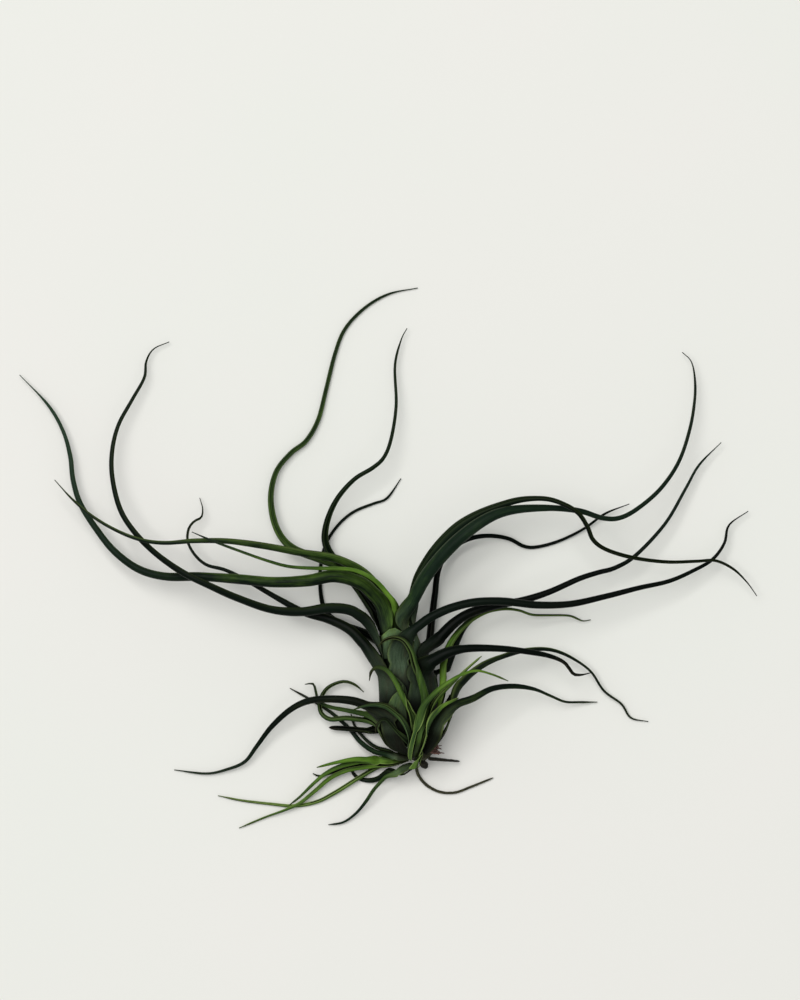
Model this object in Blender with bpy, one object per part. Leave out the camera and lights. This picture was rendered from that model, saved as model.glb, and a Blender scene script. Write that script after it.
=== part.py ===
"""Bulbous air plant, a clump of rosettes lying on its side, every leaf its own closed solid.

Metres, +Z up. The plant lies on the plane z = 0 and the origin is under the belly of the main bulb.
Points in the tables are millimetres: +X and +Y are the directions the leaves spread in, +Z is up.
"""
import math

import bmesh
import bpy
from mathutils import Vector

MM = 0.001
OBJECT_NAME = "air_plant"

# Driving dimensions, millimetres.
SHEATH_THICKNESS = 0.62      # wall of a leaf sheath round the bulb
BLADE_FILL = 0.70            # share of the blade radius that is solid under its groove
BLADE_HALF_ANGLE = 142.0     # how far a blade is rolled to each side, degrees
TIP_RADIUS = 0.34            # finest leaf tip
BULB_REST_Z = 0.0            # belly of the bulb is pressed flat here
SHEATH_RINGS = 6             # cross-sections along a sheath
TURN_RINGS = 2               # cross-sections between a sheath and its blade
MAIN_ARC_POINTS = 6          # points across a leaf of the main rosette
PUP_ARC_POINTS = 5           # points across a leaf of the smaller rosettes

# Rosette axes: a point every few millimetres from the base of the stem towards the neck.
AXES = {
    "main": [(2.6, -22.0, 8.4), (1.6, -18.5, 8.9), (0.5, -14.0, 9.3), (-0.3, -8.0, 9.5),
             (-0.6, 0.0, 9.35), (-1.3, 6.0, 9.5), (-2.4, 12.0, 10.3), (-3.8, 18.0, 11.0),
             (-5.2, 24.0, 12.0)],
    "side": [(5.6, -19.8, 13.0), (7.4, -16.5, 15.6), (9.4, -12.5, 17.6), (11.0, -8.5, 18.4),
             (12.3, -4.5, 18.2), (13.4, -1.0, 17.4)],
    "front": [(0.9, -22.4, 14.4), (1.5, -19.5, 18.2), (2.4, -16.0, 21.6), (3.5, -12.0, 23.0),
              (4.6, -8.0, 23.4), (5.6, -4.0, 23.4)],
    "left": [(-1.8, -22.9, 5.0), (-5.0, -23.1, 4.8), (-9.0, -23.4, 4.6), (-13.0, -23.6, 4.4)],
    "cross": [(-0.9, -22.3, 8.8), (-2.8, -22.2, 8.6), (-5.6, -21.8, 7.9)],
    "lower": [(1.6, -24.9, 8.4), (-0.6, -25.5, 8.2), (-3.2, -27.0, 7.4), (-5.8, -29.2, 6.2)],
}

# Sheath shells: distance along the axis from its base, outer radius of the sheath there.
SHELLS = {
    "main_0": [(1.8, 3.3), (4.0, 6.6), (7.0, 9.2), (10.5, 10.5), (14.0, 11.1), (18.5, 11.3)],
    "main_1": [(3.0, 3.3), (6.4, 6.6), (10.0, 8.9), (16.0, 9.7), (24.0, 9.7), (30.0, 9.2), (34.0, 8.4)],
    "main_2": [(4.6, 3.2), (8.0, 6.0), (12.0, 7.9), (17.0, 8.7), (25.0, 8.6), (31.0, 8.1), (36.0, 7.3),
               (41.0, 6.4)],
    "main_3": [(6.4, 3.1), (10.0, 5.4), (14.0, 6.9), (19.0, 7.6), (27.0, 7.5), (33.0, 6.9), (39.0, 6.0),
               (45.0, 5.2)],
    "main_4": [(8.4, 2.9), (12.0, 4.7), (16.0, 6.0), (21.0, 6.5), (28.0, 6.4), (34.0, 5.8), (40.0, 4.9),
               (46.0, 4.1)],
    "main_5": [(10.6, 2.6), (14.0, 3.9), (19.0, 5.1), (25.0, 5.4), (32.0, 4.9), (38.0, 4.1), (46.0, 3.0)],
    "side_0": [(1.2, 1.9), (4.5, 3.0), (8.5, 3.7), (13.0, 3.7), (18.0, 3.2)],
    "side_1": [(2.2, 1.3), (5.5, 2.1), (9.5, 2.8), (14.0, 2.8), (19.0, 2.3)],
    "front_0": [(1.0, 1.7), (4.5, 2.3), (9.0, 2.7), (14.0, 2.7), (20.0, 2.3)],
    "front_1": [(2.0, 1.1), (5.5, 1.5), (10.0, 1.9), (15.0, 1.9), (21.0, 1.5)],
    "left_0": [(1.4, 1.5), (4.0, 2.1), (7.5, 2.3), (11.0, 2.0)],
    "left_1": [(2.0, 0.8), (4.5, 1.2), (8.0, 1.4), (11.5, 1.2)],
    "lower_0": [(1.2, 1.2), (3.5, 1.6), (6.5, 1.6), (9.5, 1.4)],
    "cross_0": [(0.3, 0.9), (2.4, 1.3), (5.0, 1.2)],
}

# Each leaf: rosette, shell, azimuth of its midrib about the axis (0 = up, +90 = towards +X side), half-angle
# of the sheath, end of the sheath along the axis, how far the midrib lifts off where sheath turns to blade,
# blade widths evenly spaced along it, and the blade route (x, y, z of the blade centre). "neck" is the share
# of its half-angle that a sheath loses near its end.
LEAVES = {
    "leaf_01_long_left": dict(
        axis="main", shell="main_3", azimuth=-57, spread=37, top=42.0, lift=0.4,
        widths=(4.8, 3.7, 3.0, 2.4, 1.6, 0.7), route=[
            (-11.2, 31.4, 17.4), (-16.5, 36.0, 18.8), (-25, 38.2, 19.8), (-34, 36.7, 20.2),
            (-45, 36.2, 19.4), (-57, 37.2, 18.0), (-70, 38.0, 15.8), (-81, 38.0, 13.4), (-90, 40.4, 11.2),
            (-98, 46.2, 9.2), (-104, 53.5, 7.6), (-109.5, 62, 6.2), (-112, 70, 5.2), (-113, 78, 4.4),
            (-115.5, 86.5, 3.8), (-120.5, 95, 3.2), (-130, 105, 2.4)]),
    "leaf_02_arched_left": dict(
        axis="main", shell="main_2", azimuth=-88, spread=38, top=36.5, lift=0.8,
        widths=(4.0, 2.8, 2.3, 1.8, 1.3, 0.7), route=[
            (-15.4, 24.4, 12.8), (-20, 27.0, 13.8), (-27, 27.6, 14.8), (-36, 26.4, 16.0),
            (-46, 27.2, 17.8), (-57, 31.0, 20.8), (-66, 35.0, 22.6), (-75, 39.4, 22.4), (-84, 45.6, 19.0),
            (-91, 52.4, 15.2), (-96, 60, 12.6), (-98.7, 70, 10.4), (-99, 79, 8.8), (-97, 88, 7.4),
            (-92.5, 96.5, 6.0), (-88.4, 104, 4.8), (-87.8, 109.4, 3.6), (-85.4, 113.6, 2.6),
            (-80.2, 116, 1.8)]),
    "leaf_03_curled_left": dict(
        axis="main", shell="main_1", azimuth=-78, spread=44, top=28.0, lift=0.8, neck=0.55,
        widths=(4.8, 2.9, 1.9, 1.3, 1.0, 0.7), route=[
            (-15.0, 15.4, 10.0), (-20, 20.4, 9.6), (-27, 23.8, 9.4), (-35, 26.0, 9.6), (-44, 30.8, 10.2),
            (-53, 36.0, 10.8), (-61, 40.0, 10.6), (-67.5, 41.8, 9.8), (-71.5, 45.2, 8.6),
            (-73.8, 49.5, 7.4), (-73.6, 53.6, 6.4), (-71.8, 56.2, 5.6), (-69.4, 57.6, 4.6),
            (-69.0, 60.5, 3.4), (-70.0, 64, 2.2)]),
    "leaf_04_upper_left": dict(
        axis="main", shell="main_4", azimuth=-84, spread=30, top=43.0, lift=0.0,
        widths=(3.2, 2.8, 2.2, 1.5, 1.1, 0.7), route=[
            (-10.4, 34.6, 12.8), (-14.8, 39.1, 13.8), (-20, 42.2, 15.6), (-26, 44.4, 18.0),
            (-36, 46.0, 21.0), (-48, 48.2, 23.0), (-60, 49.8, 24.0), (-71, 49.9, 24.0), (-81, 49.2, 23.2),
            (-89, 50.2, 21.6), (-97, 53.2, 19.0), (-105, 57.8, 16.0), (-112, 63.6, 13.0), (-118, 70, 10.0)]),
    "leaf_05_rising": dict(
        axis="main", shell="main_4", azimuth=-150, spread=32, top=42.0, lift=0.0,
        widths=(3.2, 2.6, 1.8, 1.5, 1.2, 0.7), route=[
            (-11.4, 33.2, 9.2), (-16.4, 37.4, 9.2), (-23, 41.2, 9.2), (-30, 43.8, 9.2), (-38, 46.8, 8.4),
            (-42.6, 50.8, 7.2), (-45.4, 57, 5.8), (-46.3, 65, 4.4), (-44.4, 73, 3.2), (-39.6, 79.0, 2.4),
            (-34.6, 83, 2.0), (-30.6, 90, 1.7), (-28, 100, 1.4), (-25, 112, 1.2), (-21.6, 120.4, 1.0),
            (-15, 127.4, 0.9), (-7, 132, 0.8), (2.6, 134, 0.7)]),
    "leaf_06_low_right": dict(
        axis="main", shell="main_2", azimuth=134, spread=23, top=33.0, lift=0.6,
        widths=(2.6, 2.0, 1.6, 1.2, 0.9, 0.7), route=[
            (6.6, 17.0, 5.4), (7.3, 24, 5.0), (8.3, 32, 4.8), (9.3, 39.5, 4.6), (11.8, 45.0, 4.4),
            (16, 48.6, 4.2), (21, 50.8, 4.0), (27, 51.4, 3.4), (33, 50.4, 2.4), (38, 47.9, 1.2),
            (42.5, 47.7, 0.7), (50, 49.8, 0.8), (58, 53.8, 1.6), (65, 58.8, 2.6), (73, 62, 3.6)]),
    "leaf_07_dark_right": dict(
        axis="main", shell="main_2", azimuth=66, spread=34, top=32.5, lift=0.8,
        widths=(4.0, 2.6, 2.0, 1.4, 1.1, 0.7), route=[
            (10.4, 18.4, 13.4), (14.6, 22.6, 13.8), (20, 26.0, 14.0), (28, 28.4, 13.8), (37, 30.0, 13.4),
            (46, 32.8, 12.6), (56, 37.2, 11.4), (62.5, 39.3, 10.4), (68, 40.8, 9.6), (75, 45, 8.4),
            (84.8, 55.5, 6.8), (91.6, 67, 5.2), (96.2, 75, 4.2), (103.6, 82.5, 3.2)]),
    "leaf_08_middle_right": dict(
        axis="main", shell="main_2", azimuth=-8, spread=36, top=33.5, lift=1.0,
        widths=(3.1, 2.7, 2.3, 1.7, 1.2, 0.7), route=[
            (1.8, 20.9, 20.6), (7, 24.7, 21.0), (14, 27.8, 20.8), (22, 29.6, 20.2), (31, 29.8, 19.6),
            (42, 28.6, 18.6), (53, 28.9, 17.2), (64, 31.2, 15.4), (76, 34.2, 13.0), (86, 36.4, 10.4),
            (94, 39.8, 8.2), (100.6, 43.6, 6.2), (104.6, 49, 4.8), (106.2, 55, 3.8), (112.6, 59.6, 2.6)]),
    "leaf_09_hooked_right": dict(
        axis="main", shell="main_1", azimuth=38, spread=46, top=25.4, lift=0.8,
        widths=(4.4, 2.7, 2.2, 1.9, 1.2, 1.0), route=[
            (7.4, 10.2, 20.8), (11.6, 12.6, 21.7), (16, 13.9, 21.8), (22, 14.4, 21.0), (31, 14.1, 19.6),
            (39, 13.1, 17.4), (46, 11.7, 15.0), (50.8, 9.7, 13.2), (53.0, 7.2, 12.0), (54.4, 5.5, 11.2),
            (57, 5.3, 10.6), (60, 6.0, 10.2)]),
    "leaf_10_fine_left": dict(
        axis="main", shell="main_5", azimuth=-6, spread=16, top=44.0, lift=0.0,
        widths=(1.6, 1.4, 1.2, 1.0, 0.9, 0.7), route=[
            (-6.6, 31.2, 20.4), (-11.6, 36.8, 21.8), (-18, 40.0, 22.4), (-24, 40.7, 23.6),
            (-31, 40.8, 24.2), (-40, 41.4, 25.2), (-48, 43.6, 26.2), (-57, 46.8, 26.9), (-65, 49.8, 27.2),
            (-72, 52.8, 26.8)]),
    "leaf_11_back_rising": dict(
        axis="main", shell="main_3", azimuth=-162, spread=30, top=39.5, lift=0.4,
        widths=(3.6, 2.6, 1.7, 1.3, 1.0, 0.7), route=[
            (-12.0, 26.6, 6.0), (-17.0, 33.8, 4.6), (-22.4, 40.6, 3.6), (-26.6, 45.6, 3.6),
            (-28.3, 50.5, 5.2), (-27.3, 57, 7.6), (-24, 64, 9.4), (-18.5, 70.2, 10.4), (-12.4, 74, 10.4),
            (-8.6, 77.6, 9.8), (-6.2, 84, 8.6), (-4.6, 95, 6.4), (-5, 108, 4.4), (-3, 116.5, 3.2),
            (-1, 120.5, 2.6)]),
    "leaf_12_under": dict(
        axis="main", shell="main_1", azimuth=176, spread=40, top=26.0, lift=0.0, neck=0.65,
        widths=(3.2, 1.8, 1.2, 1.0, 0.9, 0.7), route=[
            (-10.6, 16.6, 2.4), (-16.5, 19.6, 2.0), (-23, 22.2, 1.7), (-27.6, 25.6, 1.4),
            (-29.4, 30, 1.2), (-30.0, 37, 1.0), (-29.4, 44, 0.9), (-27.4, 50, 0.8), (-23.4, 55.6, 0.8),
            (-18.4, 59.6, 0.7), (-12, 62.2, 0.7), (-7.6, 64, 0.7), (-3, 70.5, 0.7)]),
    "leaf_13_outer_arch": dict(
        axis="main", shell="main_3", azimuth=104, spread=31, top=41.0, lift=0.4, neck=0.38,
        widths=(4.0, 3.4, 1.7, 1.4, 1.1, 0.7), route=[
            (1.0, 30.0, 11.8), (3.2, 38, 14.0), (7.8, 46.0, 16.8), (14.4, 53.2, 19.0), (21.4, 58.0, 20.6),
            (29.4, 61.4, 22.2), (37, 63.5, 24.2), (45, 63.7, 25.8), (51, 61.8, 26.0), (55.6, 58.9, 25.4),
            (58.6, 54.4, 23.6), (60.6, 50, 21.4), (65.2, 46.8, 19.2), (74, 44.2, 16.4), (85, 42.8, 13.6),
            (95, 43, 11.6), (101.4, 43.2, 10.4), (107.4, 40.4, 8.4), (112, 36, 6.6), (115.4, 31.4, 5.0)]),
    "leaf_14_inner_arch": dict(
        axis="main", shell="main_4", azimuth=36, spread=25, top=43.5, lift=0.0,
        widths=(4.4, 4.2, 2.0, 1.5, 1.2, 0.7), route=[
            (1.0, 30.4, 19.2), (4.9, 37.6, 21.6), (9.9, 44.2, 23.6), (16, 50.4, 25.0), (22.4, 55.4, 25.4),
            (28.6, 58.7, 25.0), (35, 60.2, 23.8), (43, 60.7, 22.2), (50, 60.5, 20.6), (57, 59.5, 19.2),
            (63.5, 57.4, 18.0), (69, 57.3, 16.8), (75, 60.2, 15.2), (83, 67, 12.8), (89.2, 76, 10.2),
            (93, 87, 7.8), (94.7, 97, 6.0), (94.7, 104.4, 4.8), (93.5, 109.6, 4.0), (90.6, 112.5, 3.4)]),
    "leaf_15_lower_left": dict(
        axis="main", shell="main_0", azimuth=-42, spread=23, top=13.0, lift=1.1,
        widths=(3.6, 2.7, 2.2, 1.6, 1.0, 0.7), route=[
            (-14.2, -4.9, 13.8), (-19, -3.3, 12.4), (-26, -2.7, 11.2), (-33.4, -3.3, 9.8),
            (-39.6, -6.2, 8.2), (-46, -12, 6.0), (-51, -18.6, 4.2), (-55, -23.8, 2.9), (-61, -26.4, 1.9),
            (-68, -27.8, 1.2), (-78.6, -26.6, 0.7)]),
    "leaf_16_hook_left": dict(
        axis="main", shell="main_0", azimuth=-84, spread=11, top=11.6, lift=0.3,
        widths=(2.0, 1.6, 1.3, 1.0, 0.7), route=[
            (-15.4, -7.6, 7.6), (-21, -6.5, 7.4), (-27, -5.3, 6.6), (-30.4, -3.4, 6.0),
            (-31.2, -0.6, 5.8), (-32.2, 2.2, 5.6), (-35, 2.0, 5.4)]),
    "leaf_17_short_right": dict(
        axis="main", shell="main_1", azimuth=112, spread=18, top=25.5, lift=0.4,
        widths=(2.4, 2.0, 1.6, 1.1, 0.7), route=[
            (12.4, 7.6, 6.6), (14.2, 12.2, 6.8), (16.0, 17, 7.2), (18.6, 21.6, 7.6), (22.6, 25.0, 7.8),
            (28.6, 27.6, 8.0), (34, 28.6, 8.0)]),
    "leaf_18_curl_left": dict(
        axis="main", shell="main_0", azimuth=-113, spread=11, top=10.4, lift=0.2,
        widths=(1.8, 1.6, 1.4, 1.1, 0.7), route=[
            (-15.8, -9.8, 5.0), (-21.6, -9.2, 5.2), (-26.6, -9.6, 5.2), (-29.6, -7.4, 4.6),
            (-29.9, -3.4, 3.6), (-27.4, 0.8, 3.4), (-22.4, 2.9, 3.6), (-18.4, 1.9, 3.8),
            (-15.4, -0.6, 4.2)]),
    "leaf_19_stub_left": dict(
        axis="main", shell="main_0", azimuth=-138, spread=10, top=9.0, lift=0.0,
        widths=(1.9, 1.8, 1.7, 1.3), route=[
            (-14.4, -13.4, 3.4), (-20.6, -12.8, 3.6), (-27, -12.4, 3.2)]),
    "side_leaf_1_long": dict(
        axis="side", shell="side_0", azimuth=96, spread=50, top=13.0, lift=0.3,
        widths=(3.0, 1.9, 1.5, 0.9, 0.8, 0.7), route=[
            (16.4, 2.4, 14.4), (20, 5.8, 13.6), (25, 9.2, 12.8), (31, 11.6, 12.0), (38, 13.5, 10.8),
            (44.6, 13.9, 9.2), (50, 12.7, 7.8), (55.6, 9.8, 6.0), (60.4, 6.0, 4.2), (64.6, -0.2, 2.6),
            (70.4, -4.6, 1.7), (73.6, -9.2, 1.1), (79.4, -10.5, 0.7)]),
    "side_leaf_2_low": dict(
        axis="side", shell="side_0", azimuth=-20, spread=54, top=12.0, lift=0.3,
        widths=(2.6, 2.0, 1.7, 1.0, 0.8, 0.7), route=[
            (16.6, -3.7, 20.6), (21, -2.2, 19.4), (27, 0.8, 17.0), (34, 1.6, 13.4), (41, 0.6, 10.0),
            (47, -1.9, 6.8), (51.6, -3.8, 4.2), (57, -4.0, 2.0), (62.4, -4.0, 0.7)]),
    "side_leaf_3_lime": dict(
        axis="side", shell="side_1", azimuth=-100, spread=40, top=12.6, lift=0.0,
        widths=(2.6, 2.2, 1.6, 0.9, 0.8, 0.7), route=[
            (11.0, 4.0, 17.0), (11.2, 9.6, 16.0), (13.2, 15.4, 14.6), (16.4, 20.0, 12.2),
            (20.4, 23.6, 10.9), (25.6, 26.3, 10.6), (31, 27.2, 9.8), (36, 26.7, 8.6), (40.6, 25.2, 7.0),
            (46, 25.0, 5.2), (53, 24.8, 3.0), (57.4, 23.1, 1.4), (60.2, 23.4, 0.7)]),
    "side_scale": dict(
        axis="side", shell="side_0", azimuth=172, spread=20, top=11.0, lift=0.0,
        widths=(2.0, 1.6, 1.2, 1.0), route=[
            (12.4, -4.2, 13.4), (13.6, -1.2, 12.8)]),
    "front_leaf_1_crossing": dict(
        axis="front", shell="front_0", azimuth=-32, spread=58, top=13.0, lift=0.0,
        widths=(2.4, 1.9, 1.2, 0.9, 0.7), route=[
            (6.0, -2.6, 26.6), (9.2, 0.6, 26.8), (13.0, 3.4, 26.8), (17.4, 5.9, 26.4), (22, 7.0, 25.8),
            (27, 5.8, 25.0), (32.4, 3.6, 24.0)]),
    "front_leaf_2_pale": dict(
        axis="front", shell="front_0", azimuth=78, spread=43, top=12.4, lift=0.0,
        widths=(2.0, 1.5, 1.0, 0.7), route=[
            (8.6, -6.6, 24.8), (11.0, -4.4, 24.8), (16.0, -2.0, 24.4)]),
    "front_leaf_3_channelled": dict(
        axis="front", shell="front_1", azimuth=-10, spread=56, top=13.0, lift=0.0,
        widths=(2.6, 2.4, 2.0, 1.4, 0.8), route=[
            (4.5, 0.4, 22.7), (3.3, 4.4, 22.7), (1.6, 9.0, 22.3), (0.4, 13.2, 22.6), (-2.0, 16.8, 22.5),
            (-5.2, 17.9, 21.0), (-8.4, 17.0, 19.6), (-10.6, 14.8, 18.8)]),
    "front_leaf_4_left": dict(
        axis="front", shell="front_0", azimuth=-166, spread=22, top=9.0, lift=0.0,
        widths=(2.0, 1.9, 1.7, 1.3, 0.7), route=[
            (0.2, -6.4, 21.7), (-2.4, -1.6, 21.3), (-5.0, 3.6, 20.0), (-7.6, 6.9, 18.8),
            (-10.6, 8.0, 17.4), (-12.8, 6.6, 16.6), (-13.5, 3.5, 16.0)]),
    "front_leaf_5_short": dict(
        axis="front", shell="front_1", azimuth=112, spread=22, top=14.0, lift=0.0,
        widths=(1.4, 1.2, 0.9, 0.7), route=[
            (9.9, -1.2, 23.5), (14.0, 3.0, 23.9), (18.6, 7.4, 24.1), (23.6, 11.8, 23.8)]),
    "front_leaf_6_cross_left": dict(
        axis="front", shell="front_0", azimuth=-105, spread=9, top=6.4, lift=0.0,
        widths=(2.0, 1.9, 1.6, 1.2, 0.7), route=[
            (-4.6, -7.6, 21.2), (-8, -5.2, 20.0), (-12, -4.5, 18.8), (-15.6, -5.0, 17.8),
            (-18.6, -6.0, 17.0)]),
    "front_leaf_7_curl": dict(
        axis="front", shell="front_0", azimuth=-133, spread=6, top=4.4, lift=0.0,
        widths=(1.0, 1.0, 0.8, 0.7), route=[
            (-5.0, -12.6, 19.6), (-8.0, -9.4, 18.9), (-10.0, -9.9, 17.4), (-11.2, -11.8, 15.8),
            (-11.4, -14.0, 14.4)]),
    "left_leaf_1_short": dict(
        axis="left", shell="left_0", azimuth=8, spread=42, top=8.2, lift=0.3,
        widths=(2.6, 2.1, 1.5, 0.7), route=[
            (-14.6, -22.9, 8.2), (-18.6, -22.8, 8.6), (-25, -24.0, 7.8), (-31, -25.6, 6.2)]),
    "left_leaf_2": dict(
        axis="left", shell="left_1", azimuth=-11, spread=36, top=8.6, lift=0.0,
        widths=(2.2, 2.0, 1.5, 0.7), route=[
            (-17.0, -23.7, 5.9), (-23.0, -25.1, 6.0), (-28.0, -27.6, 5.6), (-32.3, -31.2, 4.6),
            (-36.6, -35.4, 3.8), (-40.4, -38.4, 3.2)]),
    "left_leaf_3_long": dict(
        axis="left", shell="left_0", azimuth=-81, spread=24, top=7.6, lift=0.0,
        widths=(2.2, 2.2, 1.7, 1.1, 0.7), route=[
            (-15.6, -25.6, 4.2), (-21, -26.6, 4.2), (-26.6, -29.2, 3.6), (-31.8, -33.6, 2.8),
            (-36.8, -37.6, 2.6), (-41.4, -39.8, 2.0), (-48.7, -42.5, 1.0), (-57, -46.0, 0.7)]),
    "left_leaf_4_low": dict(
        axis="left", shell="left_0", azimuth=172, spread=26, top=7.0, lift=0.0,
        widths=(2.0, 1.7, 1.3, 0.7), route=[
            (-13.8, -24.2, 1.9), (-19.4, -25.5, 2.2), (-25.6, -27.4, 1.3), (-30.0, -28.6, 1.0),
            (-32.4, -27.8, 0.9)]),
    "left_leaf_5_under": dict(
        axis="left", shell="left_0", azimuth=-130, spread=24, top=6.0, lift=0.0,
        widths=(2.0, 1.8, 1.6, 1.2, 0.7), route=[
            (-13.0, -26.8, 1.6), (-18.4, -30.0, 2.4), (-24.6, -33.9, 1.6), (-31, -37.2, 0.9),
            (-38.4, -38.6, 0.6), (-46, -38.0, 0.7), (-56, -36.8, 0.7), (-64, -35.2, 0.7)]),
    "lower_leaf_1": dict(
        axis="lower", shell="lower_0", azimuth=20, spread=54, top=6.0, lift=0.2,
        widths=(2.1, 1.9, 1.4, 0.7), route=[
            (-8.6, -29.2, 6.4), (-12.0, -33.0, 5.2), (-14.8, -37.2, 3.6), (-18.0, -41.0, 2.1),
            (-22.2, -44.0, 1.1), (-27.2, -44.9, 0.7)]),
    "lower_leaf_2_hook": dict(
        axis="lower", shell="lower_0", azimuth=-100, spread=40, top=4.6, lift=0.0,
        widths=(2.2, 1.8, 1.2, 0.7), route=[
            (-7.4, -27.0, 4.0), (-10.6, -29.4, 2.0), (-13.6, -30.1, 0.9), (-16.6, -29.6, 0.6),
            (-18.8, -27.9, 0.6), (-19.8, -25.0, 0.7), (-20.2, -22.6, 0.7)]),
    "cross_leaf_long": dict(
        axis="cross", shell="cross_0", azimuth=0, spread=60, top=4.0, lift=0.0,
        widths=(2.2, 2.0, 1.6, 1.2, 0.7), route=[
            (-7.6, -21.2, 7.9), (-12.0, -20.3, 5.6), (-16.4, -17.3, 2.8), (-20.1, -13.0, 1.2),
            (-25.4, -8.2, 0.9), (-31, -4.4, 0.8), (-40, 0.6, 0.7)]),
    "cross_leaf_fine": dict(
        axis="cross", shell="cross_0", azimuth=122, spread=44, top=3.4, lift=0.0,
        widths=(1.4, 1.2, 1.0, 0.7), route=[
            (-7.4, -20.0, 5.6), (-11.6, -18.8, 3.0), (-15.4, -15.8, 1.6), (-18.4, -12.0, 1.0),
            (-19.7, -8.0, 0.7)]),
}

# Tapered round stalks: centre points and the radius at each.
STALKS = {
    "stem_main": ([(3.0, -22.8, 8.2), (2.2, -20.6, 8.6), (1.4, -17.6, 8.9), (0.7, -14.6, 9.2),
                   (0.2, -11.6, 9.4)],
                  [2.2, 2.5, 2.2, 1.8, 1.3]),
    "root_stub": ([(3.8, -23.6, 7.2), (4.8, -24.8, 5.4), (5.6, -25.4, 3.4)], [1.1, 1.2, 0.6]),
    "root_spike": ([(5.9, -22.6, 8.2), (8.4, -22.8, 7.4), (12.0, -23.2, 5.4), (16.6, -23.7, 2.4)],
                   [0.7, 0.6, 0.5, 0.34]),
    "root_hook": ([(2.4, -23.4, 5.4), (2.2, -26.0, 3.6), (3.2, -29.0, 1.8), (6.0, -32.0, 1.0),
                   (10.2, -34.0, 0.7), (15.2, -34.1, 0.7), (20.4, -32.2, 0.7), (27.8, -29.2, 0.7)],
                  [0.6, 0.55, 0.5, 0.5, 0.45, 0.42, 0.4, 0.34]),
    "root_bit_1": ([(5.2, -20.6, 9.8), (6.8, -19.6, 10.4), (7.4, -18.0, 9.6)], [0.6, 0.6, 0.4]),
    "root_bit_2": ([(5.4, -21.4, 8.4), (7.4, -20.6, 8.2), (9.2, -19.0, 7.0)], [0.5, 0.5, 0.35]),
}

# Colour, roughness of each material.
MATERIALS = {
    "leaf_green": ((0.075, 0.120, 0.080), 0.55),
    "leaf_lime": ((0.270, 0.420, 0.110), 0.50),
    "leaf_dry": ((0.120, 0.095, 0.060), 0.80),
    "stem_bark": ((0.160, 0.120, 0.070), 0.85),
    "root_dark": ((0.050, 0.030, 0.022), 0.85),
}
LIME_LEAVES = {"side_leaf_3_lime", "front_leaf_1_crossing", "front_leaf_2_pale", "front_leaf_3_channelled",
               "front_leaf_5_short", "left_leaf_1_short", "left_leaf_3_long"}
DRY_LEAVES = {"leaf_19_stub_left", "side_scale"}


def clear_scene():
    """Remove every object so the file builds the same from any start."""
    for obj in list(bpy.data.objects):
        bpy.data.objects.remove(obj, do_unlink=True)


def make_material(name):
    """Principled material from the table of colours."""
    colour, rough = MATERIALS[name]
    mat = bpy.data.materials.new(name)
    mat.use_nodes = True
    shader = mat.node_tree.nodes["Principled BSDF"]
    shader.inputs["Base Color"].default_value = (*colour, 1.0)
    shader.inputs["Roughness"].default_value = rough
    shader.inputs["Metallic"].default_value = 0.0
    return mat


def spline(points, t):
    """Catmull-Rom position at t, where whole numbers are the points themselves."""
    last = len(points) - 1
    i = min(int(t), last - 1)
    f = t - i
    p1, p2 = points[i], points[i + 1]
    p0 = points[i - 1] if i > 0 else p1 * 2 - p2
    p3 = points[i + 2] if i + 2 <= last else p2 * 2 - p1
    a = p0 * -0.5 + p1 * 1.5 - p2 * 1.5 + p3 * 0.5
    b = p0 - p1 * 2.5 + p2 * 2 - p3 * 0.5
    c = (p2 - p0) * 0.5
    return ((a * f + b) * f + c) * f + p1


def spline_tangent(points, t):
    """Unit direction of the curve at t."""
    last = len(points) - 1
    lo, hi = max(t - 0.02, 0.0), min(t + 0.02, last)
    return (spline(points, hi) - spline(points, lo)).normalized()


def at_length(points, length):
    """Curve parameter that lies a given polyline length from the first point."""
    walked = 0.0
    for i in range(len(points) - 1):
        step = (points[i + 1] - points[i]).length
        if length <= walked + step:
            return i + (length - walked) / step
        walked += step
    return float(len(points) - 1)


def shell_radius(shell, length):
    """Outer radius of a sheath shell, smooth between the rows of its table."""
    rows = SHELLS[shell]
    if length <= rows[0][0]:
        return rows[0][1]
    for i in range(len(rows) - 1):
        if length <= rows[i + 1][0]:
            points = [Vector((row[1], 0.0, 0.0)) for row in rows]
            return spline(points, i + (length - rows[i][0]) / (rows[i + 1][0] - rows[i][0])).x
    return rows[-1][1]


def blend(values, f):
    """Value at share f of the way along evenly spaced values."""
    pos = f * (len(values) - 1)
    i = min(int(pos), len(values) - 2)
    return values[i] + (values[i + 1] - values[i]) * (pos - i)


def axis_frame(axis, length, azimuth):
    """Point on a rosette axis, its direction, and the outward direction at an azimuth from straight up."""
    points = [Vector(p) for p in AXES[axis]]
    t = at_length(points, length)
    along = spline_tangent(points, t)
    up = (Vector((0.0, 0.0, 1.0)) - along * along.z).normalized()
    right = along.cross(up)
    angle = math.radians(azimuth)
    return spline(points, t), along, up * math.cos(angle) + right * math.sin(angle)


def carry(normal, direction):
    """Keep a normal square to a new direction without twisting it."""
    return (normal - direction * normal.dot(direction)).normalized()


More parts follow.
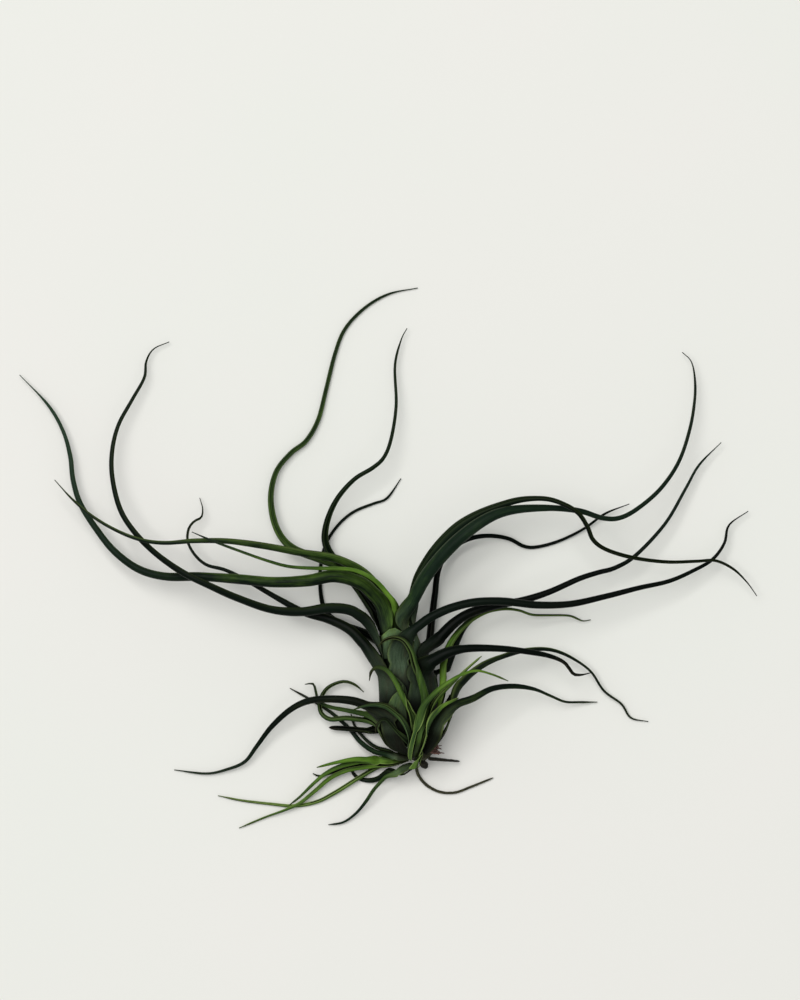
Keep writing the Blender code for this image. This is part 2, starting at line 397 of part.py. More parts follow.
def leaf_sections(spec):
    """Sections of one leaf: midrib point, plane direction, outward normal, radius, half-angle, thickness."""
    sections = []
    start = SHELLS[spec["shell"]][0][0]
    for i in range(SHEATH_RINGS):
        f = i / (SHEATH_RINGS - 1)
        length = start + (spec["top"] - start) * f ** 0.85
        centre, along, out = axis_frame(spec["axis"], length, spec["azimuth"])
        radius = shell_radius(spec["shell"], length)
        spread = spec["spread"] * (1.0 - spec.get("neck", 0.30) * max(0.0, f - 0.55) / 0.45)
        sections.append([centre + out * radius, along, out, radius, spread,
                         min(SHEATH_THICKNESS, radius * 0.3)])
    route = [Vector(p) for p in spec["route"]]
    blade = []
    lengths = [0.0]
    for i in range(1, len(route)):
        lengths.append(lengths[-1] + (route[i] - route[i - 1]).length)
    normal = sections[-1][2]
    direction = sections[-1][1]
    for i, point in enumerate(route):
        tangent = spline_tangent(route, float(i))
        for step in range(1, 5):
            mixed = direction.lerp(tangent, step / 4).normalized()
            normal = carry(normal, mixed)
        direction = tangent
        radius = max(blend(spec["widths"], lengths[i] / lengths[-1]) / 2, TIP_RADIUS)
        blade.append([point + normal * radius, tangent, normal, radius, BLADE_HALF_ANGLE,
                      radius * BLADE_FILL])
    first, last = sections[-1], blade[0]
    reach = (last[0] - first[0]).length
    for i in range(1, TURN_RINGS + 1):
        f = i / (TURN_RINGS + 1)
        h1, h2 = 2 * f ** 3 - 3 * f ** 2 + 1, f ** 3 - 2 * f ** 2 + f
        h3, h4 = -2 * f ** 3 + 3 * f ** 2, f ** 3 - f ** 2
        midrib = first[0] * h1 + first[1] * reach * h2 + last[0] * h3 + last[1] * reach * h4
        along = first[1].lerp(last[1], f).normalized()
        out = carry(first[2].lerp(last[2], f), along)
        midrib += out * spec["lift"] * 4 * f * (1 - f)
        radius = first[3] ** (1 - f) * last[3] ** f
        sections.append([midrib, along, out, radius, first[4] * (1 - f) + last[4] * f,
                         first[5] * (1 - f) + last[5] * f])
    return sections + blade


def section_ring(section, points):
    """Crescent outline of a section: outer arc, then the inner arc back to the first margin."""
    midrib, along, out, radius, spread, thick = section
    side = along.cross(out)
    centre = midrib - out * radius
    ring = []
    for i in range(points):
        angle = math.radians(-spread + 2 * spread * i / (points - 1))
        ring.append(centre + (out * math.cos(angle) + side * math.sin(angle)) * radius)
    for i in range(points - 2, 0, -1):
        share = 1 - 2 * i / (points - 1)
        angle = math.radians(-spread * share)
        depth = radius - thick * (1.0 - 0.25 * share * share)
        ring.append(centre + (out * math.cos(angle) + side * math.sin(angle)) * depth)
    return ring


def mesh_from_rings(rings):
    """Loft between unlike sections, closed at both ends."""
    bm = bmesh.new()
    rows = [[bm.verts.new(p * MM) for p in ring] for ring in rings]
    count = len(rows[0])
    for a, b in zip(rows, rows[1:]):
        for i in range(count):
            j = (i + 1) % count
            bm.faces.new((a[i], a[j], b[j], b[i]))
    bm.faces.new(list(reversed(rows[0])))
    bm.faces.new(rows[-1])
    bmesh.ops.triangulate(bm, faces=bm.faces[:], quad_method="BEAUTY", ngon_method="EAR_CLIP")
    bmesh.ops.recalc_face_normals(bm, faces=bm.faces[:])
    return bm


def add_object(name, bm, material, collection):
    """Turn a bmesh into a named object with one material."""
    mesh = bpy.data.meshes.new(name)
    bm.to_mesh(mesh)
    bm.free()
    mesh.materials.append(material)
    obj = bpy.data.objects.new(name, mesh)
    collection.objects.link(obj)
    return obj


def build_leaf(name, spec, materials, collection):
    """One leaf from stem to tip; anything below the resting plane is pressed flat on it."""
    points = MAIN_ARC_POINTS if spec["axis"] == "main" else PUP_ARC_POINTS
    rings = [section_ring(section, points) for section in leaf_sections(spec)]
    for ring in rings:
        for point in ring:
            point.z = max(point.z, BULB_REST_Z)
    slot = "leaf_lime" if name in LIME_LEAVES else "leaf_dry" if name in DRY_LEAVES else "leaf_green"
    return add_object(name, mesh_from_rings(rings), materials[slot], collection)


def build_stalk(name, points, radii, material, collection):
    """Tapered round stalk: a bevelled curve with filled ends, turned into a closed mesh."""
    curve = bpy.data.curves.new(name, "CURVE")
    curve.dimensions = "3D"
    curve.bevel_depth = 1.0 * MM
    curve.bevel_resolution = 2
    curve.use_fill_caps = True
    line = curve.splines.new("POLY")
    line.points.add(len(points) - 1)
    for point, place, radius in zip(line.points, points, radii):
        point.co = (*(Vector(place) * MM), 1.0)
        point.radius = radius
    carrier = bpy.data.objects.new(name + "_curve", curve)
    collection.objects.link(carrier)
    bpy.context.view_layer.update()
    evaluated = carrier.evaluated_get(bpy.context.evaluated_depsgraph_get())
    bm = bmesh.new()
    bm.from_mesh(evaluated.to_mesh())
    bpy.data.objects.remove(carrier, do_unlink=True)
    bmesh.ops.remove_doubles(bm, verts=bm.verts[:], dist=0.00001)
    for vert in bm.verts:
        vert.co.z = max(vert.co.z, BULB_REST_Z)
    bmesh.ops.triangulate(bm, faces=bm.faces[:], quad_method="BEAUTY", ngon_method="EAR_CLIP")
    bmesh.ops.recalc_face_normals(bm, faces=bm.faces[:])
    return add_object(name, bm, material, collection)


def main():
    """Build the whole plant."""
    clear_scene()
    collection = bpy.data.collections.new(OBJECT_NAME)
    bpy.context.scene.collection.children.link(collection)
    materials = {name: make_material(name) for name in MATERIALS}
    for name, spec in LEAVES.items():
        build_leaf(name, spec, materials, collection)
    for name, (points, radii) in STALKS.items():
        slot = "stem_bark" if name.startswith("stem") else "root_dark"
        build_stalk(name, points, radii, materials[slot], collection)


main()
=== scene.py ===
"""Bulbous air plant, a clump of rosettes lying on its side: the finished look of every leaf, stem and root.

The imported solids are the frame. Every leaf follows the same sheath, turn and blade as its solid, with a
finer rolled section, thin margins and a tapering tip, and takes the place of that solid. Dry scales and
root fibres that are too fine to be solids are added. Points in the tables are millimetres in the part's
frame: +X and +Y are the directions the leaves spread in, +Z is up.
"""
import logging
import math
from dataclasses import dataclass, field
from enum import Enum

import bmesh
import bpy
import numpy as np
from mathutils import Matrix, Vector, noise
from mathutils.bvhtree import BVHTree


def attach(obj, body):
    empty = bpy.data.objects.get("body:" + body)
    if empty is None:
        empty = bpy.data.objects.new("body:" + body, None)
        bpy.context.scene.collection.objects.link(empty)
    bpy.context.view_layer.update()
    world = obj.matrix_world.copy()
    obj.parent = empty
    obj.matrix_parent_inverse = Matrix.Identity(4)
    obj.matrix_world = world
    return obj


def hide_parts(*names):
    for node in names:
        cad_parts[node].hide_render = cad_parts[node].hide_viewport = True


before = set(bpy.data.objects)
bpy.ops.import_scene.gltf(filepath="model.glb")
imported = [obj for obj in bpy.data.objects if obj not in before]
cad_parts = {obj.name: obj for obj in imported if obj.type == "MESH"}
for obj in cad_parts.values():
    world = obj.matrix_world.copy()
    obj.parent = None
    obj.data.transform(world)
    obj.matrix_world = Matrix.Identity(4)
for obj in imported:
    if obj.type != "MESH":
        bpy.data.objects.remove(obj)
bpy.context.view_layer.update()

log = logging.getLogger("air_plant")

MM = 0.001
BODY = "root"

# Leaf form, millimetres and degrees, shared by every leaf.
SHEATH_THICKNESS = 0.62
BLADE_FILL = 0.70
BLADE_HALF_ANGLE = 142.0
TIP_RADIUS = 0.34
FINE_TIP_RADIUS = 0.15
TIP_TAPER_SHARE = 0.10
REST_Z = 0.0

# Place along a leaf where its sheath ends; the blade starts at 1 and its tip is at 3.
SHEATH_END = 0.7

# A leaf's margin starts at this share of its half-width.
MARGIN_START = 0.72

# Fewest rings of a blade, and steps in which its first direction takes over from the sheath's.
LEAST_BLADE_RINGS = 14
CARRY_STEPS = 8

# Rings of a tail that reaches back to the stem, and how much narrower each is than the next.
TAIL_RINGS = 5
TAIL_NARROWING = 0.11

# How much of the sheath's pale skin a lime leaf shows.
LIME_SHEATH_SHARE = 0.25

# Radians between neighbours that spread evenly round a disc.
GOLDEN_ANGLE = 2.399963

# Rosette axes: a point every few millimetres from the base of the stem towards the neck.
AXES = {
    "main": [
        (2.6, -22, 8.4), (1.6, -18.5, 8.9), (0.5, -14, 9.3), (-0.3, -8, 9.5), (-0.6, 0, 9.35),
        (-1.3, 6, 9.5), (-2.4, 12, 10.3), (-3.8, 18, 11), (-5.2, 24, 12)],
    "side": [
        (5.6, -19.8, 13), (7.4, -16.5, 15.6), (9.4, -12.5, 17.6), (11, -8.5, 18.4), (12.3, -4.5, 18.2),
        (13.4, -1, 17.4)],
    "front": [
        (0.9, -22.4, 14.4), (1.5, -19.5, 18.2), (2.4, -16, 21.6), (3.5, -12, 23), (4.6, -8, 23.4),
        (5.6, -4, 23.4)],
    "left": [
        (-1.8, -22.9, 5), (-5, -23.1, 4.8), (-9, -23.4, 4.6), (-13, -23.6, 4.4)],
    "cross": [
        (-0.9, -22.3, 8.8), (-2.8, -22.2, 8.6), (-5.6, -21.8, 7.9)],
    "lower": [
        (1.6, -24.9, 8.4), (-0.6, -25.5, 8.2), (-3.2, -27, 7.4), (-5.8, -29.2, 6.2)],
}

# Sheath shells: distance along the axis from its base, outer radius of the sheath there.
SHELLS = {
    "main_0": [
        (1.8, 3.3), (4, 6.6), (7, 9.2), (10.5, 10.5), (14, 11.1), (18.5, 11.3)],
    "main_1": [
        (3, 3.3), (6.4, 6.6), (10, 8.9), (16, 9.7), (24, 9.7), (30, 9.2), (34, 8.4)],
    "main_2": [
        (4.6, 3.2), (8, 6), (12, 7.9), (17, 8.7), (25, 8.6), (31, 8.1), (36, 7.3), (41, 6.4)],
    "main_3": [
        (6.4, 3.1), (10, 5.4), (14, 6.9), (19, 7.6), (27, 7.5), (33, 6.9), (39, 6), (45, 5.2)],
    "main_4": [
        (8.4, 2.9), (12, 4.7), (16, 6), (21, 6.5), (28, 6.4), (34, 5.8), (40, 4.9), (46, 4.1)],
    "main_5": [
        (10.6, 2.6), (14, 3.9), (19, 5.1), (25, 5.4), (32, 4.9), (38, 4.1), (46, 3)],
    "side_0": [
        (1.2, 1.9), (4.5, 3), (8.5, 3.7), (13, 3.7), (18, 3.2)],
    "side_1": [
        (2.2, 1.3), (5.5, 2.1), (9.5, 2.8), (14, 2.8), (19, 2.3)],
    "front_0": [
        (1, 1.7), (4.5, 2.3), (9, 2.7), (14, 2.7), (20, 2.3)],
    "front_1": [
        (2, 1.1), (5.5, 1.5), (10, 1.9), (15, 1.9), (21, 1.5)],
    "left_0": [
        (1.4, 1.5), (4, 2.1), (7.5, 2.3), (11, 2)],
    "left_1": [
        (2, 0.8), (4.5, 1.2), (8, 1.4), (11.5, 1.2)],
    "lower_0": [
        (1.2, 1.2), (3.5, 1.6), (6.5, 1.6), (9.5, 1.4)],
    "cross_0": [
        (0.3, 0.9), (2.4, 1.3), (5, 1.2)],
}


class Slot(Enum):
    """The part's material slots."""

    GREEN = "leaf_green"
    LIME = "leaf_lime"
    DRY = "leaf_dry"
    BARK = "stem_bark"
    ROOT = "root_dark"


@dataclass(frozen=True)
class LeafForm:
    """Form and tones of one leaf.

    azimuth is its midrib's angle about the axis, 0 up and +90 towards +X. spread is the sheath's half-angle
    and neck the share of it lost at the sheath's end. top is where the sheath ends along the axis, lift how
    far the midrib stands off where it turns, roll how far the blade twists open. Each tone has a value at
    the sheath's base, at its end, half-way along the blade and at the tip. left and right, where given, are
    the sheath's half-angles on each side from base to end. squeeze below 1 narrows the turn sooner, shrink
    draws the sheath in, lean keeps the lime to one margin, light is the brightness of the green at the same
    four places, partly the leaf's tone and partly painted light and shade, the base-shade share is how much
    of that brightness the sheath's covered base keeps, which is painted shade, and tail reaches back to the
    stem.
    """

    rosette: str
    shell: str
    azimuth: float
    spread: float
    top: float
    lift: float
    widths: tuple[float, ...]
    route: tuple[tuple[float, float, float], ...]
    neck: float = 0.30
    roll: float = 0.0
    slot: Slot = Slot.GREEN
    lime: tuple[float, float, float, float] = (0.10, 0.10, 0.0, 0.0)
    dry: tuple[float, float, float, float] = (0.55, 0.05, 0.0, 0.25)
    rim: float = 0.15
    left: tuple[float, ...] = ()
    right: tuple[float, ...] = ()
    squeeze: float = 1.0
    lean: float = 0.0
    shrink: float = 1.0
    # Brightness of the green: partly the leaf's tone, partly painted light and shade.
    light: tuple[float, float, float, float] = (1.2, 1.0, 1.0, 1.0)
    # Painted shade: share of the brightness kept at the sheath's base, where the sheath outside covers it.
    fade: float = 0.22
    tail: float = 0.0


# Half-angles of the pup's narrow sheaths, base to end.
PUP_SHEATH = (22, 22, 20, 18, 16, 14)
PUP_SLIM_SHEATH = (20, 22, 20, 18, 16, 14)
PUP_BROAD_SHEATH = (30, 30, 27, 23, 20, 16)

LEAVES = {
    "leaf_01_long_left": LeafForm(
        "main", "main_3", azimuth=-57, spread=37, top=42, lift=0.4,
        lime=(0.3, 0.6, 0.0, 0.0), dry=(0.4, 0.0, 0.0, 0.2), rim=0.1, lean=1.0,
        light=(0.4, 0.38, 0.6, 2.2),
        widths=(4.8, 3.7, 3, 2.4, 1.6, 0.7), route=(
            (-11.2, 31.4, 17.4), (-16.5, 36, 18.8), (-25, 38.2, 19.8), (-34, 36.7, 20.2),
            (-45, 36.2, 19.4), (-57, 37.2, 18), (-70, 38, 15.8), (-81, 38, 13.4), (-90, 40.4, 11.2),
            (-98, 46.2, 9.2), (-104, 53.5, 7.6), (-109.5, 62, 6.2), (-112, 70, 5.2), (-113, 78, 4.4),
            (-115.5, 86.5, 3.8), (-120.5, 95, 3.2), (-130, 105, 2.4))),
    "leaf_02_arched_left": LeafForm(
        "main", "main_2", azimuth=-88, spread=38, top=36.5, lift=0.8,
        lime=(0.1, 0.0, 0.0, 0.0), dry=(0.5, 0.1, 0.0, 0.3), rim=0.05, squeeze=0.6,
        light=(0.9, 0.4, 0.25, 0.7),
        widths=(4, 2.8, 2.3, 1.8, 1.3, 0.7), route=(
            (-15.4, 24.4, 12.8), (-20, 27, 13.8), (-27, 27.6, 14.8), (-36, 26.4, 16), (-46, 27.2, 17.8),
            (-57, 31, 20.8), (-66, 35, 22.6), (-75, 39.4, 22.4), (-84, 45.6, 19), (-91, 52.4, 15.2),
            (-96, 60, 12.6), (-98.7, 70, 10.4), (-99, 79, 8.8), (-97, 88, 7.4), (-92.5, 96.5, 6),
            (-88.4, 104, 4.8), (-87.8, 109.4, 3.6), (-85.4, 113.6, 2.6), (-80.2, 116, 1.8))),
    "leaf_03_curled_left": LeafForm(
        "main", "main_1", azimuth=-78, spread=44, top=28, lift=0.8, neck=0.55,
        lime=(0.0, 0.0, 0.0, 0.0), dry=(0.5, 0.15, 0.1, 0.5), rim=0.1, squeeze=0.5,
        left=(44, 44, 44, 42, 34, 24), right=(44, 58, 70, 76, 74, 60), light=(1.3, 0.3, 0.2, 0.7),
        widths=(3.9, 2.9, 1.9, 1.3, 1, 0.7), route=(
            (-15, 15.4, 10), (-20, 20.4, 9.6), (-27, 23.8, 9.4), (-35, 26, 9.6), (-44, 30.8, 10.2),
            (-53, 36, 10.8), (-61, 40, 10.6), (-67.5, 41.8, 9.8), (-71.5, 45.2, 8.6), (-73.8, 49.5, 7.4),
            (-73.6, 53.6, 6.4), (-71.8, 56.2, 5.6), (-69.4, 57.6, 4.6), (-69, 60.5, 3.4), (-70, 64, 2.2))),
    "leaf_04_upper_left": LeafForm(
        "main", "main_4", azimuth=-84, spread=30, top=43, lift=0,
        lime=(0.3, 0.5, 0.1, 0.0), dry=(0.3, 0.0, 0.0, 0.3), rim=0.2, lean=0.7,
        light=(0.7, 0.45, 0.5, 0.7),
        widths=(3.2, 2.8, 2.2, 1.5, 1.1, 0.7), route=(
            (-10.4, 34.6, 12.8), (-14.8, 39.1, 13.8), (-20, 42.2, 15.6), (-26, 44.4, 18), (-36, 46, 21),
            (-48, 48.2, 23), (-60, 49.8, 24), (-71, 49.9, 24), (-81, 49.2, 23.2), (-89, 50.2, 21.6),
            (-97, 53.2, 19), (-105, 57.8, 16), (-112, 63.6, 13), (-118, 70, 10))),
    "leaf_05_rising": LeafForm(
        "main", "main_4", azimuth=-150, spread=32, top=42, lift=0,
        lime=(0.2, 0.35, 0.15, 0.0), dry=(0.4, 0.0, 0.0, 0.3), rim=0.1, light=(1.0, 0.8, 1.0, 1.1),
        widths=(3.2, 2.6, 1.8, 1.5, 1.2, 0.7), route=(
            (-11.4, 33.2, 9.2), (-16.4, 37.4, 9.2), (-23, 41.2, 9.2), (-30, 43.8, 9.2), (-38, 46.8, 8.4),
            (-42.6, 50.8, 7.2), (-45.4, 57, 5.8), (-46.3, 65, 4.4), (-44.4, 73, 3.2), (-39.6, 79, 2.4),
            (-34.6, 83, 2), (-30.6, 90, 1.7), (-28, 100, 1.4), (-25, 112, 1.2), (-21.6, 120.4, 1),
            (-15, 127.4, 0.9), (-7, 132, 0.8), (2.6, 134, 0.7))),
    "leaf_06_low_right": LeafForm(
        "main", "main_2", azimuth=134, spread=23, top=33, lift=0.6,
        lime=(0.0, 0.0, 0.0, 0.0), dry=(0.6, 0.2, 0.05, 0.3), rim=0.0, light=(0.9, 0.15, 0.15, 0.3),
        widths=(2.6, 2, 1.6, 1.2, 0.9, 0.7), route=(
            (6.6, 17, 5.4), (7.3, 24, 5), (8.3, 32, 4.8), (9.3, 39.5, 4.6), (11.8, 45, 4.4),
            (16, 48.6, 4.2), (21, 50.8, 4), (27, 51.4, 3.4), (33, 50.4, 2.4), (38, 47.9, 1.2),
            (42.5, 47.7, 0.7), (50, 49.8, 0.8), (58, 53.8, 1.6), (65, 58.8, 2.6), (73, 62, 3.6))),
    "leaf_07_dark_right": LeafForm(
        "main", "main_2", azimuth=66, spread=34, top=32.5, lift=0.8,
        lime=(0.0, 0.0, 0.0, 0.0), dry=(0.5, 0.15, 0.0, 0.2), rim=0.0, light=(0.7, 0.12, 0.1, 1.0),
        widths=(4, 2.6, 2, 1.4, 1.1, 0.7), route=(
            (10.4, 18.4, 13.4), (14.6, 22.6, 13.8), (20, 26, 14), (28, 28.4, 13.8), (37, 30, 13.4),
            (46, 32.8, 12.6), (56, 37.2, 11.4), (62.5, 39.3, 10.4), (68, 40.8, 9.6), (75, 45, 8.4),
            (84.8, 55.5, 6.8), (91.6, 67, 5.2), (96.2, 75, 4.2), (103.6, 82.5, 3.2))),
    "leaf_08_middle_right": LeafForm(
        "main", "main_2", azimuth=-8, spread=36, top=33.5, lift=1,
        lime=(0.15, 0.0, 0.0, 0.0), dry=(0.3, 0.0, 0.0, 0.25), rim=0.3,
        left=(24, 36, 48, 52, 44, 28), right=(20, 22, 22, 22, 20, 18), light=(2.1, 0.4, 0.12, 0.2),
        fade=0.04,
        widths=(3.1, 2.7, 2.3, 1.7, 1.2, 0.7), route=(
            (1.8, 20.9, 20.6), (7, 24.7, 21), (14, 27.8, 20.8), (22, 29.6, 20.2), (31, 29.8, 19.6),
            (42, 28.6, 18.6), (53, 28.9, 17.2), (64, 31.2, 15.4), (76, 34.2, 13), (86, 36.4, 10.4),
            (94, 39.8, 8.2), (100.6, 43.6, 6.2), (104.6, 49, 4.8), (106.2, 55, 3.8), (112.6, 59.6, 2.6))),
    "leaf_09_hooked_right": LeafForm(
        "main", "main_1", azimuth=38, spread=46, top=25.4, lift=0.8,
        lime=(0.05, 0.0, 0.0, 0.0), dry=(0.4, 0.0, 0.0, 0.5), rim=0.1,
        light=(1.1, 0.2, 0.15, 0.2), fade=0.05,
        widths=(4.4, 2.7, 2.2, 1.9, 1.2, 1), route=(
            (7.4, 10.2, 20.8), (11.6, 12.6, 21.7), (16, 13.9, 21.8), (22, 14.4, 21), (31, 14.1, 19.6),
            (39, 13.1, 17.4), (46, 11.7, 15), (50.8, 9.7, 13.2), (53, 7.2, 12), (54.4, 5.5, 11.2),
            (57, 5.3, 10.6), (60, 6, 10.2))),
    "leaf_10_fine_left": LeafForm(
        "main", "main_5", azimuth=-6, spread=16, top=44, lift=0,
        lime=(0.3, 1.0, 0.35, 0.0), dry=(0.3, 0.0, 0.0, 0.35), rim=0.2,
        light=(1.0, 0.85, 0.8, 0.9),
        widths=(1.6, 1.4, 1.2, 1, 0.9, 0.7), route=(
            (-6.6, 31.2, 20.4), (-11.6, 36.8, 21.8), (-18, 40, 22.4), (-24, 40.7, 23.6),
            (-31, 40.8, 24.2), (-40, 41.4, 25.2), (-48, 43.6, 26.2), (-57, 46.8, 26.9), (-65, 49.8, 27.2),
            (-72, 52.8, 26.8))),
    "leaf_11_back_rising": LeafForm(
        "main", "main_3", azimuth=-162, spread=30, top=39.5, lift=0.4,
        lime=(0.1, 0.1, 0.0, 0.0), dry=(0.5, 0.1, 0.0, 0.2), rim=0.05, light=(0.8, 0.3, 0.6, 0.8),
        widths=(3.6, 2.6, 1.7, 1.3, 1, 0.7), route=(
            (-12, 26.6, 6), (-17, 33.8, 4.6), (-22.4, 40.6, 3.6), (-26.6, 45.6, 3.6), (-28.3, 50.5, 5.2),
            (-27.3, 57, 7.6), (-24, 64, 9.4), (-18.5, 70.2, 10.4), (-12.4, 74, 10.4), (-8.6, 77.6, 9.8),
            (-6.2, 84, 8.6), (-4.6, 95, 6.4), (-5, 108, 4.4), (-3, 116.5, 3.2), (-1, 120.5, 2.6))),
    "leaf_12_under": LeafForm(
        "main", "main_1", azimuth=176, spread=40, top=26, lift=0, neck=0.65,
        lime=(0.0, 0.0, 0.0, 0.0), dry=(0.7, 0.3, 0.1, 0.3), rim=0.0, light=(0.8, 0.4, 0.4, 0.7),
        widths=(3.2, 1.8, 1.2, 1, 0.9, 0.7), route=(
            (-10.6, 16.6, 2.4), (-16.5, 19.6, 2), (-23, 22.2, 1.7), (-27.6, 25.6, 1.4), (-29.4, 30, 1.2),
            (-30, 37, 1), (-29.4, 44, 0.9), (-27.4, 50, 0.8), (-23.4, 55.6, 0.8), (-18.4, 59.6, 0.7),
            (-12, 62.2, 0.7), (-7.6, 64, 0.7), (-3, 70.5, 0.7))),
    "leaf_13_outer_arch": LeafForm(
        "main", "main_3", azimuth=104, spread=31, top=41, lift=0.4, neck=0.38,
        lime=(0.1, 0.0, 0.0, 0.0), dry=(0.4, 0.0, 0.0, 0.25), rim=0.05,
        light=(0.8, 0.9, 0.15, 0.2),
        widths=(4, 3.4, 1.7, 1.4, 1.1, 0.7), route=(
            (1, 30, 11.8), (3.2, 38, 14), (7.8, 46, 16.8), (14.4, 53.2, 19), (21.4, 58, 20.6),
            (29.4, 61.4, 22.2), (37, 63.5, 24.2), (45, 63.7, 25.8), (51, 61.8, 26), (55.6, 58.9, 25.4),
            (58.6, 54.4, 23.6), (60.6, 50, 21.4), (65.2, 46.8, 19.2), (74, 44.2, 16.4), (85, 42.8, 13.6),
            (95, 43, 11.6), (101.4, 43.2, 10.4), (107.4, 40.4, 8.4), (112, 36, 6.6), (115.4, 31.4, 5))),
    "leaf_14_inner_arch": LeafForm(
        "main", "main_4", azimuth=36, spread=25, top=43.5, lift=0,
        lime=(0.1, 0.1, 0.0, 0.0), dry=(0.3, 0.0, 0.0, 0.25), rim=0.2,
        light=(0.35, 1.1, 0.7, 0.6), fade=0.1,
        widths=(4.4, 4.2, 2, 1.5, 1.2, 0.7), route=(
            (1, 30.4, 19.2), (4.9, 37.6, 21.6), (9.9, 44.2, 23.6), (16, 50.4, 25), (22.4, 55.4, 25.4),
            (28.6, 58.7, 25), (35, 60.2, 23.8), (43, 60.7, 22.2), (50, 60.5, 20.6), (57, 59.5, 19.2),
            (63.5, 57.4, 18), (69, 57.3, 16.8), (75, 60.2, 15.2), (83, 67, 12.8), (89.2, 76, 10.2),
            (93, 87, 7.8), (94.7, 97, 6), (94.7, 104.4, 4.8), (93.5, 109.6, 4), (90.6, 112.5, 3.4))),
    "leaf_15_lower_left": LeafForm(
        "main", "main_0", azimuth=-42, spread=23, top=13, lift=1.1,
        lime=(0.05, 0.05, 0.0, 0.0), dry=(0.7, 0.3, 0.1, 0.4), rim=0.15, light=(1.1, 0.2, 0.3, 1.5),
        widths=(3.13, 2.35, 1.91, 1.39, 0.87, 0.61), route=(
            (-14.2, -4.9, 13.8), (-19, -3.3, 12.4), (-26, -2.7, 11.2), (-33.4, -3.3, 9.8),
            (-39.6, -6.2, 8.2), (-46, -12, 6), (-51, -18.6, 4.2), (-55, -23.8, 2.9), (-61, -26.4, 1.9),
            (-68, -27.8, 1.2), (-78.6, -26.6, 0.7))),
    "leaf_16_hook_left": LeafForm(
        "main", "main_0", azimuth=-84, spread=11, top=11.6, lift=0.3,
        lime=(0.1, 0.35, 0.25, 0.0), dry=(0.6, 0.1, 0.1, 0.6), rim=0.3, light=(1.2, 1.1, 1.1, 1.0),
        widths=(2, 1.6, 1.3, 1, 0.7), route=(
            (-15.4, -7.6, 7.6), (-21, -6.5, 7.4), (-27, -5.3, 6.6), (-30.4, -3.4, 6), (-31.2, -0.6, 5.8),
            (-32.2, 2.2, 5.6), (-35, 2, 5.4))),
    "leaf_17_short_right": LeafForm(
        "main", "main_1", azimuth=112, spread=18, top=25.5, lift=0.4,
        lime=(0.0, 0.0, 0.0, 0.0), dry=(0.5, 0.2, 0.0, 0.4), rim=0.0, light=(0.9, 0.3, 0.4, 0.6),
        widths=(2.4, 2, 1.6, 1.1, 0.7), route=(
            (12.4, 7.6, 6.6), (14.2, 12.2, 6.8), (16, 17, 7.2), (18.6, 21.6, 7.6), (22.6, 25, 7.8),
            (28.6, 27.6, 8), (34, 28.6, 8))),
    "leaf_18_curl_left": LeafForm(
        "main", "main_0", azimuth=-113, spread=11, top=10.4, lift=0.2,
        lime=(0.1, 0.35, 0.2, 0.1), dry=(0.6, 0.1, 0.0, 0.5), rim=0.3, light=(1.2, 1.1, 1.0, 0.8),
        widths=(1.8, 1.6, 1.4, 1.1, 0.7), route=(
            (-15.8, -9.8, 5), (-21.6, -9.2, 5.2), (-26.6, -9.6, 5.2), (-29.6, -7.4, 4.6),
            (-29.9, -3.4, 3.6), (-27.4, 0.8, 3.4), (-22.4, 2.9, 3.6), (-18.4, 1.9, 3.8),
            (-15.4, -0.6, 4.2))),
    "leaf_19_stub_left": LeafForm(
        "main", "main_0", azimuth=-138, spread=10, top=9, lift=0,
        slot=Slot.DRY, dry=(0.5, 0.35, 0.3, 0.7), rim=0.0, light=(0.5, 0.4, 0.4, 0.5),
        widths=(1.9, 1.8, 1.7, 1.3), route=(
            (-14.4, -13.4, 3.4), (-20.6, -12.8, 3.6), (-27, -12.4, 3.2))),
    "side_leaf_1_long": LeafForm(
        "side", "side_0", azimuth=96, spread=50, top=13, lift=0.3,
        lime=(0.1, 0.1, 0.0, 0.1), dry=(0.5, 0.25, 0.05, 0.4), rim=0.35, shrink=0.72,
        light=(0.6, 0.4, 0.4, 0.6), tail=2.2,
        widths=(3, 1.9, 1.5, 0.9, 0.8, 0.7), route=(
            (16.4, 2.4, 14.4), (20, 5.8, 13.6), (25, 9.2, 12.8), (31, 11.6, 12), (38, 13.5, 10.8),
            (44.6, 13.9, 9.2), (50, 12.7, 7.8), (55.6, 9.8, 6), (60.4, 6, 4.2), (64.6, -0.2, 2.6),
            (70.4, -4.6, 1.7), (73.6, -9.2, 1.1), (79.4, -10.5, 0.7))),
    "side_leaf_2_low": LeafForm(
        "side", "side_0", azimuth=-20, spread=54, top=12, lift=0.3,
        lime=(0.15, 0.1, 0.05, 0.1), dry=(0.6, 0.25, 0.05, 0.4), rim=0.4,
        light=(0.6, 0.4, 0.4, 0.6), tail=2.2,
        widths=(2.6, 2, 1.7, 1, 0.8, 0.7), route=(
            (16.6, -3.7, 20.6), (21, -2.2, 19.4), (27, 0.8, 17), (34, 1.6, 13.4), (41, 0.6, 10),
            (47, -1.9, 6.8), (51.6, -3.8, 4.2), (57, -4, 2), (62.4, -4, 0.7))),
    "side_leaf_3_lime": LeafForm(
        "side", "side_1", azimuth=-100, spread=40, top=12.6, lift=0,
        slot=Slot.LIME, lime=(0.8, 0.9, 0.3, 0.0), dry=(0.1, 0.0, 0.0, 0.4), rim=0.4, tail=2.2,
        widths=(2.6, 2.2, 1.6, 0.9, 0.8, 0.7), route=(
            (11, 4, 17), (11.2, 9.6, 16), (13.2, 15.4, 14.6), (16.4, 20, 12.2), (20.4, 23.6, 10.9),
            (25.6, 26.3, 10.6), (31, 27.2, 9.8), (36, 26.7, 8.6), (40.6, 25.2, 7), (46, 25, 5.2),
            (53, 24.8, 3), (57.4, 23.1, 1.4), (60.2, 23.4, 0.7))),
    "side_scale": LeafForm(
        "side", "side_0", azimuth=172, spread=20, top=11, lift=0,
        slot=Slot.DRY, dry=(0.7, 0.5, 0.4, 0.6), rim=0.1, shrink=0.8, tail=2.2,
